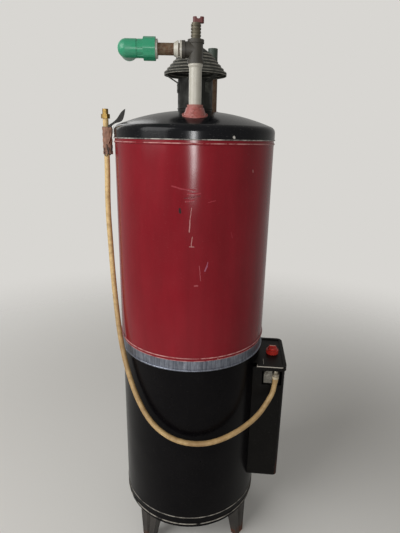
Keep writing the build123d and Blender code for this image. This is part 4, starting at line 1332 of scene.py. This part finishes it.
@dataclass
class TieEnds:
    """The strip's fold over the hook, and its loose loops below the windings.

    The points are in millimetres from the middle of the windings, right, back and up.
    """

    middle: Point = (-0.253411, -0.028425, 1.3310)
    fold: tuple[Point, ...] = (
        (6.0, -9.0, 35.0),
        (11.0, -11.0, 38.0),
        (16.0, -12.0, 37.5),
        (18.5, -12.5, 32.0),
        (18.0, -12.5, 22.0),
        (15.5, -12.0, 11.0),
        (11.5, -11.5, 0.0),
        (8.0, -11.0, -8.0),
    )
    near_loop: tuple[Point, ...] = (
        (-6.0, -11.5, -20.0),
        (-7.0, -12.5, -34.0),
        (-1.0, -12.5, -45.0),
        (6.0, -12.0, -38.0),
        (8.0, -11.8, -18.0),
    )
    far_loop: tuple[Point, ...] = (
        (2.0, -12.0, -10.0),
        (4.0, -13.0, -30.0),
        (11.0, -11.0, -42.0),
        (15.0, -8.0, -30.0),
        (14.0, -8.0, -12.0),
    )
    loop_radius: float = 0.0011

    def placed(self, points: Sequence[Point]) -> list[Point]:
        """Returns the points in the row frame, in metres."""
        return [tuple(a + b * MM for a, b in zip(self.middle, point)) for point in points]

    def build(self) -> None:
        """Builds the fold, and two thin loops that hang under the lowest turn."""
        fold = Shape()
        fold.ribbon(self.placed(self.fold), 8.0, 2.2, (0.35, 1.0, 0.0))
        fold.link("tie_fold", TIE_RUBBER, "tie_rubber", sharp=60.0)
        for name, loop in (("tie_loop_near", self.near_loop), ("tie_loop_far", self.far_loop)):
            link_piece(name, wire(name, self.placed(loop), self.loop_radius), BLACK_STRIP)


@dataclass
class KnobPointer:
    """Raised pointer on top of the knob's bar, 0.4 mm high, which turns with it."""

    centre: Point = (0.266117, -0.051097, 0.6925)
    rise: float = 0.0004

    def build(self) -> None:
        """Builds the pointer as a flat arrow with sloping sides."""
        low = Matrix.Translation(self.centre) @ Matrix.Rotation(COVER_TURN, 4, "Z")
        high = low @ Matrix.Translation((0.0, 0.0, self.rise)) @ Matrix.Scale(0.9, 4)
        arrow = [(-9.0, -0.9), (8.0, -0.9), (10.5, 0.0), (8.0, 0.9), (-9.0, 0.9)]
        pointer = Shape()
        pointer.drawn(arrow, [low, high])
        pointer.link("knob_pointer", KNOB_MARK, "knob_red", Body.KNOB)


@dataclass
class CarriedNodes:
    """The CAD nodes that stay as they are and get their finishes here."""

    nodes: Mapping[str, bpy.types.Object]

    def dress(self) -> None:
        """Gives each shown node its finish."""
        for finish, names in FINISHED_NODES.items():
            for name in names:
                for slot in self.nodes[name].material_slots:
                    slot.material = finish.material()
                LOG.info("node %s is %s", name, finish.name)


def main() -> None:
    """Builds the scene in order: camera, hose, studio, then the rest of the heater."""
    logging.basicConfig(level=logging.INFO, format="%(message)s")
    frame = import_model()
    bpy.context.scene.view_settings.view_transform = "Standard"
    PhotoCamera().build()
    GasHose().build()
    Studio().build()
    CarriedNodes(frame["nodes"]).dress()
    for details in (JacketSeams(), HoodHardware(), CoverScrews(), InletDetails(), FittingDetails()):
        details.build()
    TieEnds().build()
    KnobPointer().build()


if __name__ == "__main__":
    main()
